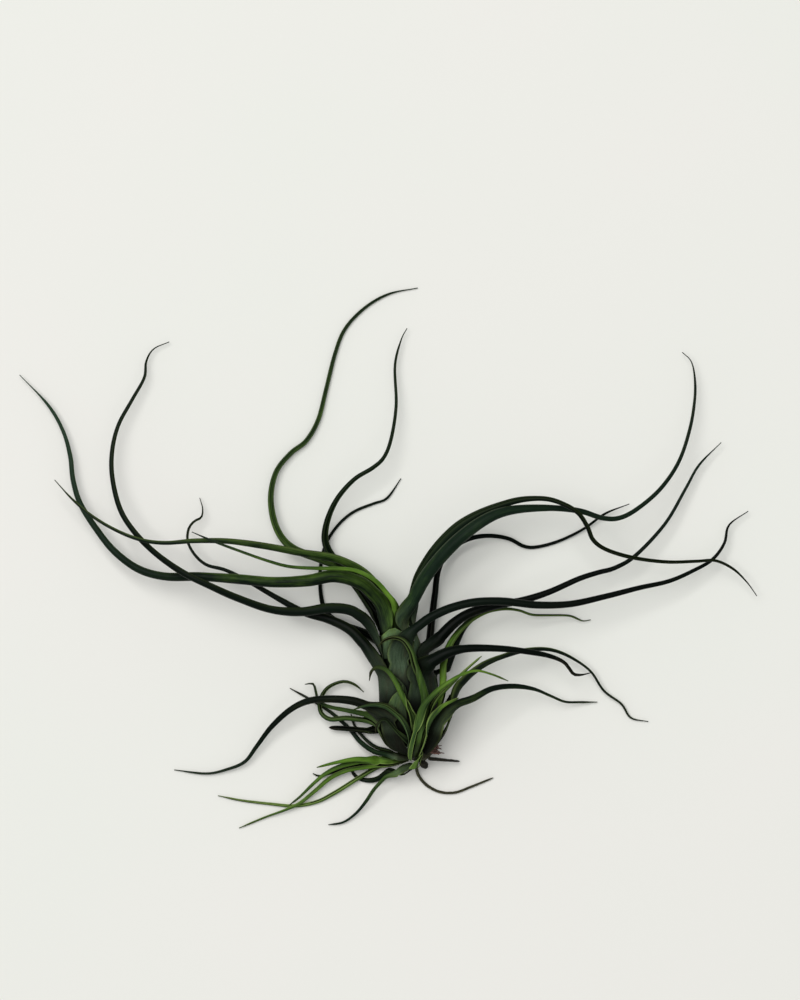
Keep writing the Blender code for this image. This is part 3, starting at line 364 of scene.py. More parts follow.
        widths=(2, 1.6, 1.2, 1), route=(
            (12.4, -4.2, 13.4), (13.6, -1.2, 12.8))),
    "front_leaf_1_crossing": LeafForm(
        "front", "front_0", azimuth=-32, spread=58, top=13, lift=0,
        slot=Slot.LIME, lime=(0.6, 0.3, 0.9, 0.5), dry=(0.1, 0.0, 0.0, 0.5), rim=1.0,
        left=PUP_SHEATH, right=PUP_SHEATH, light=(1.6, 0.9, 1.2, 1.1),
        fade=1.0, tail=1.6,
        widths=(1.92, 1.52, 0.96, 0.72, 0.6), route=(
            (6, -2.6, 26.6), (9.2, 0.6, 26.8), (13, 3.4, 26.8), (17.4, 5.9, 26.4), (22, 7, 25.8),
            (27, 5.8, 25), (32.4, 3.6, 24))),
    "front_leaf_2_pale": LeafForm(
        "front", "front_0", azimuth=78, spread=43, top=12.4, lift=0,
        slot=Slot.LIME, lime=(0.6, 0.3, 0.8, 0.4), dry=(0.1, 0.0, 0.1, 0.5), rim=1.0,
        left=PUP_SLIM_SHEATH, right=PUP_SLIM_SHEATH, light=(1.6, 0.9, 1.2, 1.1),
        fade=1.0, tail=1.6,
        widths=(2, 1.5, 1, 0.7), route=(
            (8.6, -6.6, 24.8), (11, -4.4, 24.8), (16, -2, 24.4))),
    "front_leaf_3_channelled": LeafForm(
        "front", "front_1", azimuth=-10, spread=56, top=13, lift=0,
        slot=Slot.LIME, lime=(0.3, 0.4, 0.2, 0.0), dry=(0.1, 0.0, 0.15, 0.9), rim=0.2,
        light=(0.9, 1.0, 0.9, 0.5), fade=0.35, roll=150, tail=1.6,
        widths=(2.6, 2.4, 2, 1.4, 0.8), route=(
            (4.5, 0.4, 22.7), (3.3, 4.4, 22.7), (1.6, 9, 22.3), (0.4, 13.2, 22.6), (-2, 16.8, 22.5),
            (-5.2, 17.9, 21), (-8.4, 17, 19.6), (-10.6, 14.8, 18.8))),
    "front_leaf_4_left": LeafForm(
        "front", "front_0", azimuth=-166, spread=22, top=9, lift=0,
        lime=(0.4, 0.5, 0.4, 0.1), dry=(0.2, 0.0, 0.1, 0.8), rim=0.6, roll=150,
        light=(0.9, 1.0, 1.1, 1.0), fade=0.35, tail=1.6,
        widths=(2, 1.9, 1.7, 1.3, 0.7), route=(
            (0.2, -6.4, 21.7), (-2.4, -1.6, 21.3), (-5, 3.6, 20), (-7.6, 6.9, 18.8), (-10.6, 8, 17.4),
            (-12.8, 6.6, 16.6), (-13.5, 3.5, 16))),
    "front_leaf_5_short": LeafForm(
        "front", "front_1", azimuth=112, spread=22, top=14, lift=0,
        slot=Slot.LIME, lime=(0.6, 0.5, 0.7, 0.4), dry=(0.1, 0.0, 0.0, 0.5), rim=1.0,
        left=PUP_SLIM_SHEATH, right=PUP_SLIM_SHEATH, fade=1.0, tail=1.6,
        widths=(1.4, 1.2, 0.9, 0.7), route=(
            (9.9, -1.2, 23.5), (14, 3, 23.9), (18.6, 7.4, 24.1), (23.6, 11.8, 23.8))),
    "front_leaf_6_cross_left": LeafForm(
        "front", "front_0", azimuth=-105, spread=9, top=6.4, lift=0,
        lime=(0.2, 0.3, 0.15, 0.1), dry=(0.2, 0.0, 0.0, 0.4), rim=0.1,
        left=PUP_BROAD_SHEATH, right=PUP_BROAD_SHEATH, light=(1.2, 1.3, 1.3, 1.3),
        fade=0.5, tail=1.6,
        widths=(1.56, 1.48, 1.25, 0.94, 0.6), route=(
            (-4.6, -7.6, 21.2), (-8, -5.2, 20), (-12, -4.5, 18.8), (-15.6, -5, 17.8), (-18.6, -6, 17))),
    "front_leaf_7_curl": LeafForm(
        "front", "front_0", azimuth=-133, spread=6, top=4.4, lift=0,
        lime=(0.2, 0.2, 0.1, 0.0), dry=(0.4, 0.2, 0.3, 0.7), rim=0.05, light=(0.8, 0.6, 0.7, 0.8),
        fade=0.5, tail=1.6,
        widths=(1, 1, 0.8, 0.7), route=(
            (-5, -12.6, 19.6), (-8, -9.4, 18.9), (-10, -9.9, 17.4), (-11.2, -11.8, 15.8),
            (-11.4, -14, 14.4))),
    "left_leaf_1_short": LeafForm(
        "left", "left_0", azimuth=8, spread=42, top=8.2, lift=0.3,
        slot=Slot.LIME, lime=(0.9, 1.0, 1.0, 0.6), dry=(0.1, 0.0, 0.0, 0.4), rim=0.9,
        light=(1.5, 1.6, 1.6, 1.4), fade=0.7, tail=2.6,
        widths=(1.87, 1.51, 1.08, 0.6), route=(
            (-14.6, -22.9, 8.2), (-18.6, -22.8, 8.6), (-25, -24, 7.8), (-31, -25.6, 6.2))),
    "left_leaf_2": LeafForm(
        "left", "left_1", azimuth=-11, spread=36, top=8.6, lift=0,
        lime=(0.6, 0.8, 0.6, 0.2), dry=(0.1, 0.0, 0.0, 0.5), rim=0.8, light=(1.4, 1.6, 1.6, 1.2),
        fade=0.6, tail=2.6,
        widths=(1.58, 1.44, 1.08, 0.6), route=(
            (-17, -23.7, 5.9), (-23, -25.1, 6), (-28, -27.6, 5.6), (-32.3, -31.2, 4.6),
            (-36.6, -35.4, 3.8), (-40.4, -38.4, 3.2))),
    "left_leaf_3_long": LeafForm(
        "left", "left_0", azimuth=-81, spread=24, top=7.6, lift=0,
        slot=Slot.LIME, lime=(0.7, 0.9, 0.6, 0.5), dry=(0.2, 0.0, 0.1, 0.6), rim=0.9,
        light=(1.4, 1.4, 1.7, 1.6), fade=0.6, tail=2.6,
        widths=(1.58, 1.58, 1.22, 0.79, 0.6), route=(
            (-15.6, -25.6, 4.2), (-21, -26.6, 4.2), (-26.6, -29.2, 3.6), (-31.8, -33.6, 2.8),
            (-36.8, -37.6, 2.6), (-41.4, -39.8, 2), (-48.7, -42.5, 1), (-57, -46, 0.7))),
    "left_leaf_4_low": LeafForm(
        "left", "left_0", azimuth=172, spread=26, top=7, lift=0,
        lime=(0.2, 0.2, 0.1, 0.0), dry=(0.3, 0.1, 0.0, 0.4), rim=0.3, light=(0.9, 0.8, 0.9, 0.9),
        tail=2.6,
        widths=(1.5, 1.27, 0.98, 0.6), route=(
            (-13.8, -24.2, 1.9), (-19.4, -25.5, 2.2), (-25.6, -27.4, 1.3), (-30, -28.6, 1),
            (-32.4, -27.8, 0.9))),
    "left_leaf_5_under": LeafForm(
        "left", "left_0", azimuth=-130, spread=24, top=6, lift=0,
        lime=(0.5, 0.6, 0.5, 0.2), dry=(0.2, 0.0, 0.1, 0.6), rim=0.8, light=(1.0, 1.3, 1.5, 1.3),
        fade=0.5, tail=2.6,
        widths=(1.5, 1.35, 1.2, 0.9, 0.6), route=(
            (-13, -26.8, 1.6), (-18.4, -30, 2.4), (-24.6, -33.9, 1.6), (-31, -37.2, 0.9),
            (-38.4, -38.6, 0.6), (-46, -38, 0.7), (-56, -36.8, 0.7), (-64, -35.2, 0.7))),
    "lower_leaf_1": LeafForm(
        "lower", "lower_0", azimuth=20, spread=54, top=6, lift=0.2,
        lime=(0.2, 0.25, 0.1, 0.0), dry=(0.3, 0.0, 0.0, 0.4), rim=0.3, light=(0.9, 1.0, 1.0, 1.0),
        fade=0.5, tail=1.4,
        widths=(1.3, 1.18, 0.87, 0.6), route=(
            (-8.6, -29.2, 6.4), (-12, -33, 5.2), (-14.8, -37.2, 3.6), (-18, -41, 2.1), (-22.2, -44, 1.1),
            (-27.2, -44.9, 0.7))),
    "lower_leaf_2_hook": LeafForm(
        "lower", "lower_0", azimuth=-100, spread=40, top=4.6, lift=0,
        lime=(0.1, 0.1, 0.0, 0.0), dry=(0.5, 0.2, 0.1, 0.5), rim=0.1, light=(0.9, 0.6, 0.6, 0.8),
        tail=1.4,
        widths=(2.2, 1.8, 1.2, 0.7), route=(
            (-7.4, -27, 4), (-10.6, -29.4, 2), (-13.6, -30.1, 0.9), (-16.6, -29.6, 0.6),
            (-18.8, -27.9, 0.6), (-19.8, -25, 0.7), (-20.2, -22.6, 0.7))),
    "cross_leaf_long": LeafForm(
        "cross", "cross_0", azimuth=0, spread=60, top=4, lift=0,
        lime=(0.1, 0.1, 0.05, 0.0), dry=(0.4, 0.1, 0.1, 0.6), rim=0.3, light=(0.7, 0.9, 1.1, 0.9),
        fade=0.5, tail=1.6,
        widths=(1.76, 1.6, 1.28, 0.96, 0.6), route=(
            (-7.6, -21.2, 7.9), (-12, -20.3, 5.6), (-16.4, -17.3, 2.8), (-20.1, -13, 1.2),
            (-25.4, -8.2, 0.9), (-31, -4.4, 0.8), (-40, 0.6, 0.7))),
    "cross_leaf_fine": LeafForm(
        "cross", "cross_0", azimuth=122, spread=44, top=3.4, lift=0,
        lime=(0.1, 0.1, 0.0, 0.0), dry=(0.5, 0.2, 0.2, 0.7), rim=0.2, light=(0.9, 0.8, 0.9, 0.9),
        tail=1.6,
        widths=(1.4, 1.2, 1, 0.7), route=(
            (-7.4, -20, 5.6), (-11.6, -18.8, 3), (-15.4, -15.8, 1.6), (-18.4, -12, 1), (-19.7, -8, 0.7))),
}


@dataclass(frozen=True)
class StalkForm:
    """A tapered round stalk: its centre points, the radius at each, and how rough its bark is."""

    points: tuple[tuple[float, float, float], ...]
    radii: tuple[float, ...]
    slot: Slot
    roughness: float


STALKS = {
    "stem_main": StalkForm(
        ((3.0, -22.8, 8.2), (2.2, -20.6, 8.6), (1.4, -17.6, 8.9), (0.7, -14.6, 9.2), (0.2, -11.6, 9.4)),
        (2.2, 2.5, 2.2, 1.8, 1.3), Slot.BARK, 0.30),
    "root_stub": StalkForm(
        ((3.8, -23.6, 7.2), (4.8, -24.8, 5.4), (5.6, -25.4, 3.4)), (1.1, 1.2, 0.6), Slot.ROOT, 0.35),
    "root_spike": StalkForm(
        ((5.9, -22.6, 8.2), (8.4, -22.8, 7.4), (12.0, -23.2, 5.4), (16.6, -23.7, 2.4)),
        (0.7, 0.6, 0.5, 0.34), Slot.ROOT, 0.16),
    "root_hook": StalkForm(
        ((2.4, -23.4, 5.4), (2.2, -26.0, 3.6), (3.2, -29.0, 1.8), (6.0, -32.0, 1.0), (10.2, -34.0, 0.7),
         (15.2, -34.1, 0.7), (20.4, -32.2, 0.7), (27.8, -29.2, 0.7)),
        (0.6, 0.55, 0.5, 0.5, 0.45, 0.42, 0.4, 0.34), Slot.BARK, 0.14),
    "root_bit_1": StalkForm(
        ((5.2, -20.6, 9.8), (6.8, -19.6, 10.4), (7.4, -18.0, 9.6)), (0.6, 0.6, 0.4), Slot.ROOT, 0.35),
    "root_bit_2": StalkForm(
        ((5.4, -21.4, 8.4), (7.4, -20.6, 8.2), (9.2, -19.0, 7.0)), (0.5, 0.5, 0.35), Slot.ROOT, 0.35),
}


# Curves ------------------------------------------------------------------------------------------------


def blend(values: tuple[float, ...], share: float) -> float:
    """Value at a share of the way along evenly spaced values.

    Args:
        values: evenly spaced values.
        share: place along them, 0 to 1.

    Returns:
        The value there, on straight lines between them.
    """
    place = min(max(share, 0.0), 1.0) * (len(values) - 1)
    i = min(int(place), len(values) - 2)
    return values[i] + (values[i + 1] - values[i]) * (place - i)


def flowing(values: tuple[float, ...], share: float) -> float:
    """Value at a share of the way along evenly spaced values, on a smooth curve through them."""
    return Curve(tuple((value, 0.0, 0.0) for value in values)).at(min(share, 0.9999) * (len(values) - 1)).x


def smooth(x: float) -> float:
    """Smooth step from 0 to 1 as x goes from 0 to 1."""
    x = min(max(x, 0.0), 1.0)
    return x * x * (3.0 - 2.0 * x)


class Curve:
    """Catmull-Rom curve through given points; a whole-number parameter is a point itself."""

    def __init__(self, points: tuple[tuple[float, float, float], ...]) -> None:
        """Take the points, in millimetres.

        Args:
            points: the points, in millimetres.
        """
        self.points = [Vector(p) for p in points]
        self.last = len(self.points) - 1
        self.lengths = [0.0]
        for a, b in zip(self.points, self.points[1:]):
            self.lengths.append(self.lengths[-1] + (b - a).length)

    def at(self, t: float) -> Vector:
        """Position at parameter t.

        Args:
            t: the parameter.

        Returns:
            The position.
        """
        i = min(int(t), self.last - 1)
        f = t - i
        p1, p2 = self.points[i], self.points[i + 1]
        p0 = self.points[i - 1] if i > 0 else p1 * 2 - p2
        p3 = self.points[i + 2] if i + 2 <= self.last else p2 * 2 - p1
        a = p0 * -0.5 + p1 * 1.5 - p2 * 1.5 + p3 * 0.5
        b = p0 - p1 * 2.5 + p2 * 2 - p3 * 0.5
        c = (p2 - p0) * 0.5
        return ((a * f + b) * f + c) * f + p1

    def tangent(self, t: float) -> Vector:
        """Unit direction at parameter t.

        Args:
            t: the parameter.

        Returns:
            The unit direction.
        """
        t = max(t, 0.0)
        low, high = max(t - 0.02, 0.0), min(t + 0.02, float(self.last))
        return (self.at(high) - self.at(low)).normalized()

    def parameter(self, length: float) -> float:
        """Parameter that lies a polyline length from the first point.

        Args:
            length: distance from the first point, millimetres.

        Returns:
            The parameter there.
        """
        for i in range(self.last):
            if length <= self.lengths[i + 1]:
                return i + (length - self.lengths[i]) / (self.lengths[i + 1] - self.lengths[i])
        return float(self.last)


class Rosette:
    """Axis of one rosette, with the directions round it."""

    def __init__(self, name: str) -> None:
        """Take the axis of that name from the table."""
        self.curve = Curve(AXES[name])

    def place(self, length: float, azimuth: float) -> tuple[Vector, Vector, Vector]:
        """Frame at a length along the axis.

        Args:
            length: distance from the base, millimetres.
            azimuth: angle about the axis in degrees, 0 straight up.

        Returns:
            The point on the axis, its direction, and the outward direction at the azimuth.
        """
        t = self.curve.parameter(length)
        along = self.curve.tangent(t)
        up = (Vector((0.0, 0.0, 1.0)) - along * along.z).normalized()
        right = along.cross(up)
        angle = math.radians(azimuth)
        return self.curve.at(t), along, up * math.cos(angle) + right * math.sin(angle)


def shell_radius(name: str, length: float) -> float:
    """Outer radius of a sheath shell at a length along its axis, smooth between the rows of its table.

    Args:
        name: the shell's name.
        length: distance along the axis, millimetres.

    Returns:
        The radius in millimetres.
    """
    rows = SHELLS[name]
    if length <= rows[0][0]:
        return rows[0][1]
    for i in range(len(rows) - 1):
        if length <= rows[i + 1][0]:
            radii = Curve(tuple((row[1], 0.0, 0.0) for row in rows))
            return radii.at(i + (length - rows[i][0]) / (rows[i + 1][0] - rows[i][0])).x
    return rows[-1][1]


def carried(normal: Vector, direction: Vector) -> Vector:
    """The normal, kept square to a new direction without twisting."""
    return (normal - direction * normal.dot(direction)).normalized()


def margin(across: np.ndarray) -> np.ndarray:
    """How far each place across a leaf is into its margin, from 0 to 1 at the edge."""
    return np.clip((np.abs(across) - MARGIN_START) / (1.0 - MARGIN_START), 0.0, 1.0)


# Meshes ------------------------------------------------------------------------------------------------


@dataclass
class Section:
    """One cross-section of a leaf: its midrib, frame, size and where it stands along the leaf."""

    midrib: Vector
    along: Vector
    out: Vector
    radius: float
    left: float
    right: float
    thick: float
    station: float
    sheath: float


@dataclass
class Mesh:
    """Growing list of rings that become one closed mesh with its surface attributes."""

    name: str
    rings: list[np.ndarray] = field(default_factory=list)
    places: list[np.ndarray] = field(default_factory=list)
    tones: list[np.ndarray] = field(default_factory=list)
    lights: list[np.ndarray] = field(default_factory=list)

    def add(self, ring: np.ndarray, place: np.ndarray, tone: np.ndarray, light: float = 1.0) -> None:
        """Append a ring of points with the surface place and tone of each, and the ring's brightness.

        Args:
            ring: the ring's points, in millimetres.
            place: surface place of each: across, along and the green's brightness, partly painted light and
                shade.
            tone: lime, dry, rim and sheath shares of each.
            light: the ring's brightness, painted shade where a sheath's base lies covered.
        """
        self.rings.append(ring)
        self.places.append(place)
        self.tones.append(tone)
        self.lights.append(np.full(len(ring), light))

    def to_object(self, material: bpy.types.Material) -> bpy.types.Object:
        """Skin the rings, close both ends and store the attributes.

        Args:
            material: the finish of the piece.

        Returns:
            The new object, linked to the scene.
        """
        count = len(self.rings[0])
        points = np.vstack(self.rings)
        points[:, 2] = np.maximum(points[:, 2], REST_Z)
        bm = bmesh.new()
        verts = [bm.verts.new(p) for p in points * MM]
        for row in range(len(self.rings) - 1):
            start = row * count
            for i in range(count):
                j = (i + 1) % count
                bm.faces.new((verts[start + i], verts[start + j], verts[start + count + j],
                              verts[start + count + i]))
        bm.faces.new(verts[count - 1::-1])
        bm.faces.new(verts[-count:])
        bmesh.ops.recalc_face_normals(bm, faces=bm.faces[:])
        data = bpy.data.meshes.new(self.name)
        bm.to_mesh(data)
        bm.free()
        place = data.attributes.new("leaf_place", "FLOAT_VECTOR", "POINT")
        place.data.foreach_set("vector", np.vstack(self.places).astype(np.float32).ravel())
        tone = data.attributes.new("leaf_tone", "FLOAT_COLOR", "POINT")
        tone.data.foreach_set("color", np.vstack(self.tones).astype(np.float32).ravel())
        # Painted shade of each ring, later darkened more where neighbours crowd round; the finish multiplies
        # it into the colour.
        light = data.attributes.new("leaf_painted_shade", "FLOAT", "POINT")
        light.data.foreach_set("value", np.concatenate(self.lights).astype(np.float32))
        data.shade_smooth()
        data.materials.append(material)
        obj = bpy.data.objects.new(self.name, data)
        bpy.context.scene.collection.objects.link(obj)
        return obj


def finish_piece(obj: bpy.types.Object, node: str = "") -> None:
    """Put a piece on the part's body, in the place of a solid where a node is named.

    Args:
        obj: the piece.
        node: name of the solid it stands for, or nothing.
    """
    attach(obj, BODY)
    if node:
        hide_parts(node)


@dataclass
class Leaf:
    """One leaf from its base on the stem to its tip: sheath, turn and rolled blade."""

    name: str
    form: LeafForm
    sheath_rings: int = 22
    turn_rings: int = 10
    blade_step: float = 1.3
    outer_points: int = 33
    inner_points: int = 13
    rib_count: float = 9.0
    rib_depth: float = 0.035
    lip: float = 0.40
    waver: float = 0.05
    waver_pitch: float = 0.11
    base_crowding: float = 0.85
    neck_start: float = 0.55
    wall_share: float = 0.3
    roll_share: float = 0.3
    edge_thinning: float = 0.25
    sheath_thinning: float = 0.50
    # Painted shade darkens the sheath towards its covered base, below this share of it and over this span.
    base_shade_end: float = 0.58
    base_shade_span: float = 0.32
    lean_power: float = 2.5
    margin_power: float = 1.5

    def arcs(self) -> tuple[np.ndarray, np.ndarray]:
        """Places across the leaf, -1 to 1, of the outer arc's points and of the channel's."""
        outer = np.linspace(-1.0, 1.0, self.outer_points)
        return outer, np.linspace(1.0, -1.0, self.inner_points + 2)[1:-1]

    def sheath_sections(self) -> list[Section]:
        """Sections of the sheath, on its shell round the rosette's axis.

        Returns:
            The sections, from the leaf's base to the sheath's end.
        """
        form = self.form
        rosette = Rosette(form.rosette)
        start = SHELLS[form.shell][0][0]
        sections = []
        tail_rings = TAIL_RINGS if form.tail else 0
        for i in range(-tail_rings, self.sheath_rings):
            f = max(i, 0) / (self.sheath_rings - 1)
            length = start + (form.top - start) * f ** self.base_crowding
            length += min(i, 0) * form.tail / TAIL_RINGS
            centre, along, out = rosette.place(length, form.azimuth)
            radius = shell_radius(form.shell, length) * (1.0 + min(i, 0) * TAIL_NARROWING) * form.shrink
            necking = max(0.0, f - self.neck_start) / (1.0 - self.neck_start)
            spread = form.spread * (1.0 - form.neck * necking)
            left = flowing(form.left, f) if form.left else spread
            right = flowing(form.right, f) if form.right else spread
            thick = min(SHEATH_THICKNESS, radius * self.wall_share)
            sections.append(Section(centre + out * radius, along, out, radius, left, right, thick,
                                    SHEATH_END * f, 1.0))
        return sections

    def blade_sections(self, last: Section) -> list[Section]:
        """Sections of the blade, its normal carried on from the sheath's last section.

        Args:
            last: the sheath's last section.

        Returns:
            The sections, from the blade's start to its tip.
        """
        form = self.form
        route = Curve(form.route)
        total = route.lengths[-1]
        count = max(int(total / self.blade_step), LEAST_BLADE_RINGS)
        sections = []
        normal, direction = last.out, last.along
        first = route.tangent(0.0)
        for step in range(1, CARRY_STEPS + 1):
            normal = carried(normal, direction.lerp(first, step / CARRY_STEPS).normalized())
        for i in range(count + 1):
            share = i / count
            t = route.parameter(total * share)
            tangent = route.tangent(t)
            normal = carried(normal, tangent)
            turn = math.radians(form.roll) * smooth(share / self.roll_share)
            out = normal * math.cos(turn) + tangent.cross(normal) * math.sin(turn)
            radius = max(blend(form.widths, share) / 2, TIP_RADIUS)
            taper = smooth((share - 1.0 + TIP_TAPER_SHARE) / TIP_TAPER_SHARE)
            radius += (FINE_TIP_RADIUS - radius) * taper
            sections.append(Section(route.at(t) + out * radius, tangent, out, radius, BLADE_HALF_ANGLE,
                                    BLADE_HALF_ANGLE, radius * BLADE_FILL, 1.0 + 2.0 * share, 0.0))
        return sections

    def turn_sections(self, first: Section, last: Section) -> list[Section]:
        """Sections where the sheath narrows and turns into the blade.

        Args:
            first: the sheath's last section.
            last: the blade's first section.

        Returns:
            The sections between the two.
        """
        reach = (last.midrib - first.midrib).length
        sections = []
        for i in range(1, self.turn_rings + 1):
            f = i / (self.turn_rings + 1)
            h1, h2 = 2 * f ** 3 - 3 * f ** 2 + 1, f ** 3 - 2 * f ** 2 + f
            h3, h4 = -2 * f ** 3 + 3 * f ** 2, f ** 3 - f ** 2
            midrib = first.midrib * h1 + first.along * reach * h2
            midrib += last.midrib * h3 + last.along * reach * h4
            along = first.along.lerp(last.along, f).normalized()
            out = carried(first.out.lerp(last.out, f), along)
            midrib += out * self.form.lift * 4 * f * (1 - f)
            narrowing = f ** self.form.squeeze
            radius = first.radius ** (1 - narrowing) * last.radius ** narrowing
            sections.append(Section(midrib, along, out, radius,
                                    first.left + (last.left - first.left) * f,
                                    first.right + (last.right - first.right) * f,
                                    first.thick + (last.thick - first.thick) * f,
                                    SHEATH_END + (1.0 - SHEATH_END) * f, 1.0 - f))
        return sections

    def sections(self) -> list[Section]:
        """All sections from base to tip.

        Returns:
            The sections in order.
        """
        sheath = self.sheath_sections()
        blade = self.blade_sections(sheath[-1])
        return sheath + self.turn_sections(sheath[-1], blade[0]) + blade

    def ring(self, section: Section) -> np.ndarray:
        """Points of a section: the outer arc, then the channel back to the first margin.

        Args:
            section: the cross-section.

        Returns:
            The points, in millimetres, one a row.
        """
        side = np.array(section.along.cross(section.out))
        out = np.array(section.out)
        centre = np.array(section.midrib) - out * section.radius
        outer, inner = self.arcs()
        ribs = self.rib_depth * np.cos(outer * math.pi * self.rib_count) * (1 - outer ** 8)
        ribs *= min(section.radius / 2.0, 1.0)
        outer_reach = section.radius + ribs
        fall = self.edge_thinning + self.sheath_thinning * section.sheath
        wall = section.thick * (1 - fall * inner ** 2) * np.sqrt(1 - inner ** 10)
        reach = np.concatenate([outer_reach, section.radius - wall])
        across = np.concatenate([outer, inner])
        reach += self.lip * section.sheath * margin(across) ** 2
        angle = np.radians(np.where(across < 0, section.left, section.right)) * across
        return centre + (np.outer(np.cos(angle), out) + np.outer(np.sin(angle), side)) * reach[:, None]

    def build(self, material: bpy.types.Material) -> bpy.types.Object:
        """Make the leaf's mesh with its surface places and tones.

        Args:
            material: the leaf finish.

        Returns:
            The leaf's object, standing for its solid.
        """
        form = self.form
        mesh = Mesh(self.name + "_skin")
        across = np.concatenate(self.arcs())
        length = 0.0
        before = None
        seed = sum(ord(letter) for letter in self.name)
        pale = LIME_SHEATH_SHARE if form.slot is Slot.LIME else 1.0
        for section in self.sections():
            if before is not None:
                length += (section.midrib - before).length
            before = section.midrib
            spot = Vector((length * self.waver_pitch, seed * 0.37, 0.0))
            sway = 1.0 + self.waver * noise.noise(spot)
            if section.sheath < 0.5:
                section.midrib -= section.out * section.radius * (1.0 - sway)
                section.radius *= sway
            half_width = section.radius * math.radians(section.left + section.right) / 2
            share = section.station / 3.0
            # Brightness of the green here: partly the leaf's tone, partly painted light and shade.
            tone_and_painted_light = np.full(len(across), blend(form.light, share))
            place = np.column_stack([across * half_width + seed * 7.0, np.full(len(across), length), tone_and_painted_light])
            lean = np.clip(0.5 + 0.5 * across, 0.0, 1.0) ** self.lean_power
            tone = np.column_stack([
                blend(form.lime, share) * (1.0 - form.lean + form.lean * lean),
                np.full(len(across), blend(form.dry, share)),
                form.rim * margin(across) ** self.margin_power,
                np.full(len(across), section.sheath * pale)])
            # Painted shade: the green darkens towards the sheath's base, where the sheath outside covers it.
            clear_of_base_shade = smooth((section.station / SHEATH_END - self.base_shade_end) / self.base_shade_span)
            mesh.add(self.ring(section), place, tone, form.fade + (1.0 - form.fade) * clear_of_base_shade)
        obj = mesh.to_object(material)
        finish_piece(obj, self.name)
        return obj


@dataclass(frozen=True)
class HuskForm:
    """A short dry scale of an old leaf: where it lies on its rosette, and its tones.

    azimuth and half hold the angle of its middle and its half-angle, from base to tip; lift is how far it
    stands off its shell. light is its brightness, partly its tone and partly painted light and shade, and the
    base-shade share is how much of it the scale's base keeps, which is painted shade.
    """

    rosette: str
    shell: str
    start: float
    end: float
    azimuth: tuple[float, ...]
    half: tuple[float, ...]
    lift: float
    slot: Slot
    lime: tuple[float, ...]
    dry: tuple[float, ...]
    rim: float
    # Brightness of the scale: partly its tone, partly painted light and shade.
    light: float
    # Painted shade: share of the brightness kept at the scale's base.
    fade: float = 0.3


HUSKS = {
    "husk_front": HuskForm("main", "main_1", 8.0, 24.8, (-34, -30, -27, -20, -9),
                           (24, 26, 22, 12, 0.6), 0.45, Slot.DRY, (0.1, 0.2, 0.35, 0.3),
                           (0.8, 0.4, 0.1, 0.05), 0.2, 1.2, 0.1),
    "husk_right": HuskForm("main", "main_2", 24.0, 40.2, (40, 41, 43, 47, 55), (20, 23, 23, 19, 5), 0.25,
                           Slot.DRY, (0.1, 0.1, 0.1, 0.1), (0.3, 0.1, 0.05, 0.35), 0.2, 1.3),
    "husk_collar": HuskForm("main", "main_4", 35.0, 45.0, (-34, -32, -28, -22, -14),
                            (62, 60, 56, 44, 10), 1.75, Slot.DRY, (0.3, 0.3, 0.4, 0.6),
                            (0.2, 0.1, 0.05, 0.2), 0.3, 2.4, 0.2),
    "husk_base_1": HuskForm("front", "front_0", -2.8, 4.6, (48, 58, 70), (66, 46, 8), 0.5,
                            Slot.LIME, (0.9, 1.0, 0.8), (0.0, 0.0, 0.2), 0.8, 1.7, 0.9),
    "husk_base_2": HuskForm("front", "front_0", -2.4, 3.2, (112, 120, 126), (54, 42, 8), 1.1,
                            Slot.LIME, (0.8, 0.9, 0.7), (0.1, 0.1, 0.4), 0.8, 1.7, 0.9),
    "husk_base_3": HuskForm("front", "front_0", -1.4, 2.4, (-170, -168, -166), (44, 38, 8), 0.8,
                            Slot.LIME, (0.6, 0.7, 0.5), (0.2, 0.2, 0.5), 0.6, 0.7),
}


@dataclass
class Husk:
    """One short dry scale, thin and pointed."""

    name: str
    form: HuskForm
    rings: int = 26
    points: int = 23
    thick: float = 0.26
    edge_thinning: float = 0.96
    frill_depth: float = 0.10
    frill_waves: float = 9.0
    frill_turn: float = 11.0
    base_shade_span: float = 0.8
    margin_power: float = 1.5

    def build(self, material: bpy.types.Material) -> bpy.types.Object:
        """Make the scale's mesh.

        Args:
            material: the leaf finish.

        Returns:
            The scale's object.
        """
        form = self.form
        rosette = Rosette(form.rosette)
        mesh = Mesh(self.name)
        outer = np.linspace(-1.0, 1.0, self.points)
        across = np.concatenate([outer, outer[::-1]])
        depth = np.concatenate([np.zeros(self.points), np.ones(self.points)])
        seed = sum(ord(letter) for letter in self.name)
        for i in range(self.rings):
            f = i / (self.rings - 1)
            length = form.start + (form.end - form.start) * f
            centre, along, out = rosette.place(length, blend(form.azimuth, f))
            side = np.array(along.cross(out))
            radius = shell_radius(form.shell, length) + form.lift
            wall = self.thick * np.sqrt(1.0 - self.edge_thinning * across ** 8)
            frill = self.frill_depth * np.cos(across * self.frill_waves + f * self.frill_turn) * across ** 4
            reach = radius + frill - wall * depth
            angle = np.radians(blend(form.half, f)) * across
            direction = np.outer(np.cos(angle), out) + np.outer(np.sin(angle), side)
            ring = np.array(centre) + direction * reach[:, None]
            half_width = radius * math.radians(blend(form.half, f))
            # Brightness of the scale: partly its tone, partly painted light and shade.
            tone_and_painted_light = np.full(len(across), form.light)
            place = np.column_stack([across * half_width + seed * 3.0, np.full(len(across), length), tone_and_painted_light])
            tone = np.column_stack([
                np.full(len(across), blend(form.lime, f)), np.full(len(across), blend(form.dry, f)),
                form.rim * margin(across) ** self.margin_power, np.ones(len(across))])
            # Painted shade darkens the scale towards its base.
            mesh.add(ring, place, tone, form.fade + (1.0 - form.fade) * smooth(f / self.base_shade_span))
        obj = mesh.to_object(material)
        finish_piece(obj)
        return obj


